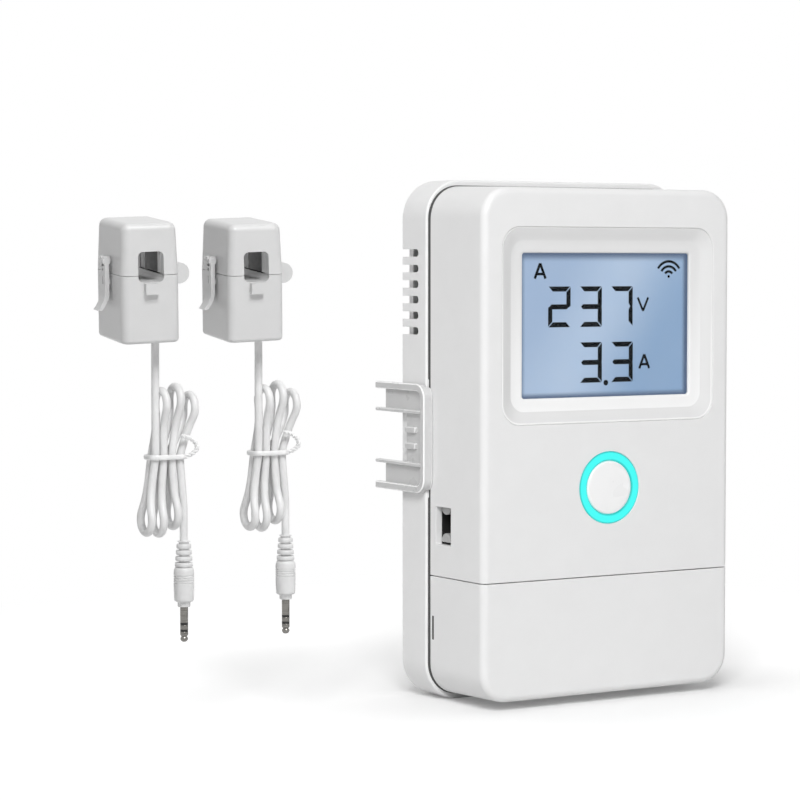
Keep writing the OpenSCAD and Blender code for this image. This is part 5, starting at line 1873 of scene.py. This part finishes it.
@dataclass
class RailLatch:
    """Slide that locks the unit on its rail: a bent rim with a lip, ribs, webs, finger grips and hooked bars.

    Attributes:
        inner_x: side of the rim towards the housing.
        rim: thickness of the rim.
        corner: outer radius of the rim's two bends.
        lip_x: how far the lip goes into the rim, and its side next to the housing.
        lip_depth: depth of the lip from the latch's front.
        lip_turn: degrees of each bend that the lip goes round.
        edge: rounding of the edges.
        highlight_colour: sRGB hex of the painted highlight along the edges.
        inner_highlight: strength of the painted highlight on the edges inside the rim, next to the rim's own.
        blocks: lowest and highest corner of the straight parts, with Z from the latch's middle.
        mirrored: the blocks from this one on are repeated below the middle.
        bend_steps: steps round each of the rim's bends.
        lip_steps: steps of the lip round each bend.
        crisp: degrees past which an edge stays crisp.
    """

    inner_x: float = -52.3
    rim: float = 2.4
    corner: float = 5.0
    lip_x: tuple[float, float] = (-52.8, -51.0)
    lip_depth: float = 2.0
    lip_turn: float = 50.0
    edge: float = 0.45
    highlight_colour: str = "#FFFFFF"
    inner_highlight: float = 0.4
    blocks: tuple = (
        ((-53.1, -16.2, -8.8), (-52.35, -4.3, 8.8)),
        ((-54.57, -16.2, 8.2), (-52.32, 14.0, 9.4)),
        ((-53.1, -16.2, 8.9), (-52.35, 9.5, 16.2)),
        ((-54.2, -11.3, 1.7), (-52.7, -4.8, 3.7)),
        ((-52.7, 0.3, 10.0), (-17.8, 3.3, 16.4)),
        ((-18.3, 1.5, 10.05), (-15.2, 3.28, 16.35)),
    )
    mirrored: int = 1
    bend_steps: int = 12
    lip_steps: int = 9
    crisp: float = 50.0

    def build(self) -> None:
        """Joins the rim, the lip and the blocks in one piece."""
        low, high = (np.array(corner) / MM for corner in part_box("rail_latch"))
        middle = (low[2] + high[2]) / 2
        shells = [self._rim(low, high), self._lip(low, high)]
        for index, (first, last) in enumerate(self.blocks):
            for side in (1.0, -1.0) if index >= self.mirrored else (1.0,):
                ends = np.array([first, last]) * (1.0, 1.0, side) + (0.0, 0.0, middle)
                points, faces, highlight_mask = rounded_block(ends.min(axis=0), ends.max(axis=0), self.edge)
                shells.append((points, faces, highlight_mask * self.inner_highlight))
        starts = np.cumsum([0] + [len(shell[0]) for shell in shells])
        faces = [block + start for start, shell in zip(starts, shells) for block in shell[1]]
        points, highlight_mask = (np.concatenate([shell[part] for shell in shells]) for part in (0, 2))
        # Painted highlight: the edges that the mask marks get a paler colour.
        finish = paint_edge_highlights(LATCH_POM.build(), self.highlight_colour)
        latch = mesh_piece("rail_latch_moulding", points, faces, finish, self.crisp)
        latch.data.attributes.new("highlight_mask", "FLOAT", "POINT").data.foreach_set("value", highlight_mask.astype(np.float32))
        tidy(latch)
        latch.modifiers.new("flat_faces_stay_flat", "WEIGHTED_NORMAL").keep_sharp = True
        seat(latch, Body.RAIL_SLIDE, "rear_white", "rail_latch")

    def _rim(self, low: np.ndarray, high: np.ndarray) -> tuple[np.ndarray, list, np.ndarray]:
        """Rounded rectangle carried along the upper arm, round both bends and along the lower arm.

        Each station is a centre plus a direction at an angle: up on the upper arm, forwards between the bends
        and down on the lower arm. The section lies along X and along that direction.

        Args:
            low: lowest corner of the latch.
            high: highest corner of the latch.

        Returns:
            Points, arrays of faces, and 1 at the points on an edge.
        """
        section = rounded_outline(self.inner_x - low[0], self.rim, self.edge, ARC_STEPS)
        bend = np.linspace(math.pi / 2, math.pi, self.bend_steps + 1)
        angle = np.concatenate([bend[[0, 0]], bend, bend + math.pi / 2, bend[[-1, -1]] + math.pi / 2])
        centre_y = np.full(len(angle), low[1] + self.corner)
        centre_y[[0, -1]] = high[1]
        centre_y[[1, -2]] = high[1] - self.edge
        upper = np.arange(len(angle)) < len(angle) // 2
        centre_z = np.where(upper, high[2] - self.corner, low[2] + self.corner)
        narrow = np.ones(len(angle))
        narrow[[0, -1]] = 1.0 - self.edge / self.rim
        out = self.corner - self.rim / 2 + narrow[:, None] * section[:, 1]
        across = (low[0] + self.inner_x) / 2 + narrow[:, None] * section[:, 0]
        y = centre_y[:, None] + np.cos(angle)[:, None] * out
        z = centre_z[:, None] + np.sin(angle)[:, None] * out
        # Painted highlight on the rounded edges of the rim's outer side.
        highlight_mask = np.tile(arc_middles(4) * (section[:, 0] < 0.0), len(angle))
        return np.stack([across, y, z], axis=-1).reshape(-1, 3), capped_faces(*across.shape), highlight_mask

    def _lip(self, low: np.ndarray, high: np.ndarray) -> tuple[np.ndarray, list, np.ndarray]:
        """Stack of level rounded rectangles from the rim's outer face back to one plane.

        Args:
            low: lowest corner of the latch.
            high: highest corner of the latch.

        Returns:
            Points, arrays of faces, and 1 at the points on an edge.
        """
        turn = np.radians(np.linspace(0.0, self.lip_turn, self.lip_steps + 1))
        angle = np.concatenate([turn[::-1], -turn])
        front = low[1] + self.corner * (1.0 - np.cos(angle))
        bend_z = np.where(np.arange(len(angle)) < len(turn), high[2] - self.corner, low[2] + self.corner)
        z = bend_z + self.corner * np.sin(angle)
        back = low[1] + self.lip_depth
        unit = rounded_outline(2.0, 2.0, 1.0, ARC_STEPS)
        side = np.sign(rounded_outline(4.0, 4.0, 1.0, ARC_STEPS))
        radius = np.minimum(self.edge, (back - front) * ROUND_SHARE)[:, None]
        round_x, round_y = radius * unit[:, 0], radius * unit[:, 1]
        x = sum(self.lip_x) / 2 + side[:, 0] * ((self.lip_x[1] - self.lip_x[0]) / 2 - radius) + round_x
        y = ((front + back) / 2)[:, None] + side[:, 1] * (((back - front) / 2)[:, None] - radius) + round_y
        level = np.broadcast_to(z[:, None], x.shape)
        # Painted highlight on the lip's front edge next to the housing.
        highlight_mask = np.tile(arc_middles(4) * (side[:, 0] > 0.0) * (side[:, 1] < 0.0), len(angle))
        return np.stack([x, y, level], axis=-1).reshape(-1, 3), capped_faces(*x.shape), highlight_mask


@dataclass
class Housing:
    """Front moulding, terminal cover, rear moulding, a dark band of painted shade between them, and the
    ports.

    Attributes:
        case_screws: X and Z of the screws through the back.
        seat_y: depth of the screws' seats.
        groove_outline: size across and up of the dark band of painted shade in the groove.
        groove_corner: radius of the band's corners.
        shade_depth: how far the band reaches in from its outline.
        shade_bead: how far the band stands out at its back.
        latch_z: lower and upper end of the latch's passage.
        latch_ease: length over which the bead dies away there.
        rim_y: depth of the rear moulding's rim.
        shade_y: front and back of the band.
        slit_y: front and back of the cover's side slits.
        slit_z: lower and upper end of the slits.
        shade_in: where the slits' dark pads of painted shade begin, from the middle plane.
        shade_out: where the pads end.
        port_middle: Y and Z of the probe port's middle.
        port_size: depth and height of the sleeve in the port.
        shroud_x: mouth and inner end of the sleeve.
        shroud_wall: thickness of the sleeve.
        shroud_corner: radius of the sleeve's corners.
        key_y: depth of the keys' middle.
        key_half: half the keys' width.
        keys: height of each key's foot, and how far the key rises from it.
        key_x: mouth, chamfer and inner end of the keys.
        key_taper: size of the keys' mouth, as a share of their inner end.
        key_steps: steps round a key.
    """

    case_screws: tuple = ((-42.4, 76.4), (42.4, 76.4), (-42.4, -40.5), (42.4, -40.5))
    seat_y: float = -8.0
    groove_outline: tuple[float, float] = (101.6, 169.6)
    groove_corner: float = 10.8
    shade_depth: float = 2.2
    shade_bead: float = 0.35
    latch_z: tuple[float, float] = (-18.4, 20.4)
    latch_ease: float = 0.6
    rim_y: float = -15.0
    shade_y: tuple[float, float] = (-15.97, -15.03)
    slit_y: tuple[float, float] = (-17.93, -16.67)
    slit_z: tuple[float, float] = (-65.97, -58.03)
    shade_in: float = 48.4
    shade_out: float = 50.55
    port_middle: tuple[float, float] = (-23.7, -27.6)
    port_size: tuple[float, float] = (8.74, 12.44)
    shroud_x: tuple[float, float] = (-48.4, -44.6)
    shroud_wall: float = 0.3
    shroud_corner: float = 0.5
    key_y: float = -22.6
    key_half: float = 2.75
    keys: tuple = ((-33.0, 2.9), (-21.7, -2.2))
    key_x: tuple[float, float, float] = (-48.9, -48.7, -37.85)
    key_taper: float = 0.92
    key_steps: int = 24

    def build(self) -> None:
        """Dresses the mouldings and makes the painted shade in the groove and the slits, the port's trim and
        the screws' heads.
        """
        dress("front_shell", "front_moulding", Body.MONITOR, "shell_white", FRONT_ABS, 0.2)
        dress("terminal_cover", "terminal_cover_moulding", Body.COVER, "shell_white", FRONT_ABS, 0.2)
        dress("rear_shell", "rear_moulding", Body.MONITOR, "rear_white", REAR_ABS, 0.6, only=self._on_rim)
        heads = [(x, self.seat_y, z) for x, z in self.case_screws]
        steel, back = SCREW_STEEL.build(), (0.0, 1.0, 0.0)
        screws = screw_head("case_screw_heads", heads, back, 2.8, 2.0, Recess.CROSS, steel)
        seat(screws, Body.MONITOR, "bright_steel")
        paint("case_screws", steel)
        self._joint_shade()
        self._slit_shade()
        self._port_keys()
        self._port_shroud()
        dress("ct_jacks", "sensor_jacks", Body.MONITOR, "black_plastic", BLACK_NYLON, 0.25)
        paint("probe_socket", BLACK_NYLON.build())
        paint("probe_contacts", CONTACT_GOLD.build())

    def _joint_shade(self) -> None:
        """Dark band of painted shade in the groove between the mouldings.

        A frame whose outer face flares backwards into a low bead. The bead dies away where the latch passes.
        """
        front, back = self.shade_y
        (across, up), (low, high), ease = self.groove_outline, self.latch_z, self.latch_ease
        rings = []
        inwards = -self.shade_depth
        for grow, y in ((inwards, back), (self.shade_bead, back), (0.0, front), (inwards, front)):
            flat = rounded_outline(across + 2 * grow, up + 2 * grow, self.groove_corner + grow)
            beside, under = -across / 2 - grow, -across / 2 - min(grow, 0.0)
            at_latch = [(beside, high + ease), (under, high), (under, low), (beside, low - ease)]
            flat = np.insert(flat, len(flat) // 2, at_latch, axis=0)
            rings.append(np.column_stack([flat[:, 0], np.full(len(flat), y), flat[:, 1]]))
        seat(joined_rings("joint_seal", rings, SHADE_CHARCOAL.build()), Body.MONITOR, "black_plastic")

    def _on_rim(self, points: np.ndarray) -> np.ndarray:
        """Which points lie on the rear moulding's rim, outside the front's outline.

        Args:
            points: points in millimetres, n by 3.

        Returns:
            One truth value per point.
        """
        straight = np.array(self.groove_outline) / 2 - self.groove_corner
        beyond = np.linalg.norm(np.maximum(np.abs(points[:, [0, 2]]) - straight, 0.0), axis=1)
        return (np.abs(points[:, 1] - self.rim_y) < 0.05) & (beyond > self.groove_corner + 0.6)

    def _slit_shade(self) -> None:
        """Dark pads of painted shade that fill the cover's two side slits to just below the surface: upright
        boxes.
        """
        low, high = self.slit_z
        shade_boxes = []
        for inner, outer in ((-self.shade_out, -self.shade_in), (self.shade_in, self.shade_out)):
            shade_boxes.append(np.array([(inner, low), (outer, low), (outer, high), (inner, high)]))
        seat(prisms("cover_slit_pads", shade_boxes, *self.slit_y, SHADE_CHARCOAL.build()), Body.COVER, "black_plastic")

    def _port_shroud(self) -> None:
        """Black sleeve in the probe port's mouth: an outer and an inner rounded outline carried inwards."""
        (y, z), (deep, tall), wall = self.port_middle, self.port_size, self.shroud_wall
        front, back = self.shroud_x
        rings = []
        for bite, x in ((0.0, front), (0.0, back), (wall, back), (wall, front)):
            flat = rounded_outline(deep - 2 * bite, tall - 2 * bite, self.shroud_corner, ARC_STEPS)
            rings.append(np.column_stack([np.full(len(flat), x), y + flat[:, 0], z + flat[:, 1]]))
        seat(joined_rings("probe_port_shroud", rings, BLACK_NYLON.build()), Body.MONITOR, "black_plastic")

    def _port_keys(self) -> None:
        """Two half-round keys in the probe port's mouth: half circles carried a short way inwards."""
        turn = np.linspace(0.0, math.pi, self.key_steps + 1)
        vertices, faces = [], []
        for foot, up in self.keys:
            start = sum(len(part) for part in vertices)
            faces += [part + start for part in capped_faces(len(self.key_x), len(turn))]
            arc = np.column_stack([self.key_half * np.cos(turn), up * np.sin(turn)])
            for x, share in zip(self.key_x, (self.key_taper, 1.0, 1.0)):
                vertices.append(np.column_stack([np.full(len(turn), x), share * arc + (self.key_y, foot)]))
        keys = mesh_piece("probe_port_keys", np.vstack(vertices), faces, KEY_NYLON.build(), 35.0)
        tidy(keys)
        seat(keys, Body.MONITOR, "rear_white")


@dataclass
class Electronics:
    """Boards, terminals and the pieces that stand on the boards.

    Attributes:
        terminal_xs: X of the terminal screws.
        terminal_seat: depth and height of the terminal screws' seats.
    """

    terminal_xs: tuple[float, ...] = (-22.5, -7.5, 7.5, 22.5)
    terminal_seat: tuple[float, float] = (-28.7, -70.1)

    def build(self) -> None:
        """Dresses the inner pieces and makes slotted heads for the terminal screws."""
        for node, finish in (
            ("main_board", BOARD),
            ("power_board", BOARD),
            ("board_screws", SCREW_STEEL),
            ("board_link", BLACK_NYLON),
            ("transformer", COIL_TAPE),
            ("filter_capacitor", CAN_SLEEVE),
            ("fuse", FUSE_CERAMIC),
            ("metering_chip", BLACK_NYLON),
            ("radio_module", TINNED_STEEL),
        ):
            paint(node, finish.build())
        dress("terminal_block", "terminal_block_moulding", Body.MONITOR, "terminal_green", GREEN_NYLON, 0.4)
        y, z = self.terminal_seat
        seats = [(x, y, z) for x in self.terminal_xs]
        steel, front = SCREW_STEEL.build(), (0.0, -1.0, 0.0)
        heads = screw_head("terminal_screw_heads", seats, front, 2.4, 1.8, Recess.SLOT, steel)
        seat(heads, Body.MONITOR, "bright_steel", "terminal_screws")


def main() -> None:
    """Builds the set in order: camera and cords first, then the pieces, the lamps and the surround."""
    logging.basicConfig(level=logging.INFO, format="%(message)s")
    studio = Studio()
    studio.build_camera()
    SensorCord("a", -160.3).build()
    SensorCord("b", -124.3).build()
    SplitSensor("a", Body.JAW_A, Body.STRAP_A).build()
    SplitSensor("b", Body.JAW_B, Body.STRAP_B).build()
    Housing().build()
    RailLatch().build()
    Display().build()
    Button().build()
    Electronics().build()
    studio.build_light()
    studio.build_surround()


if __name__ == "__main__":
    main()
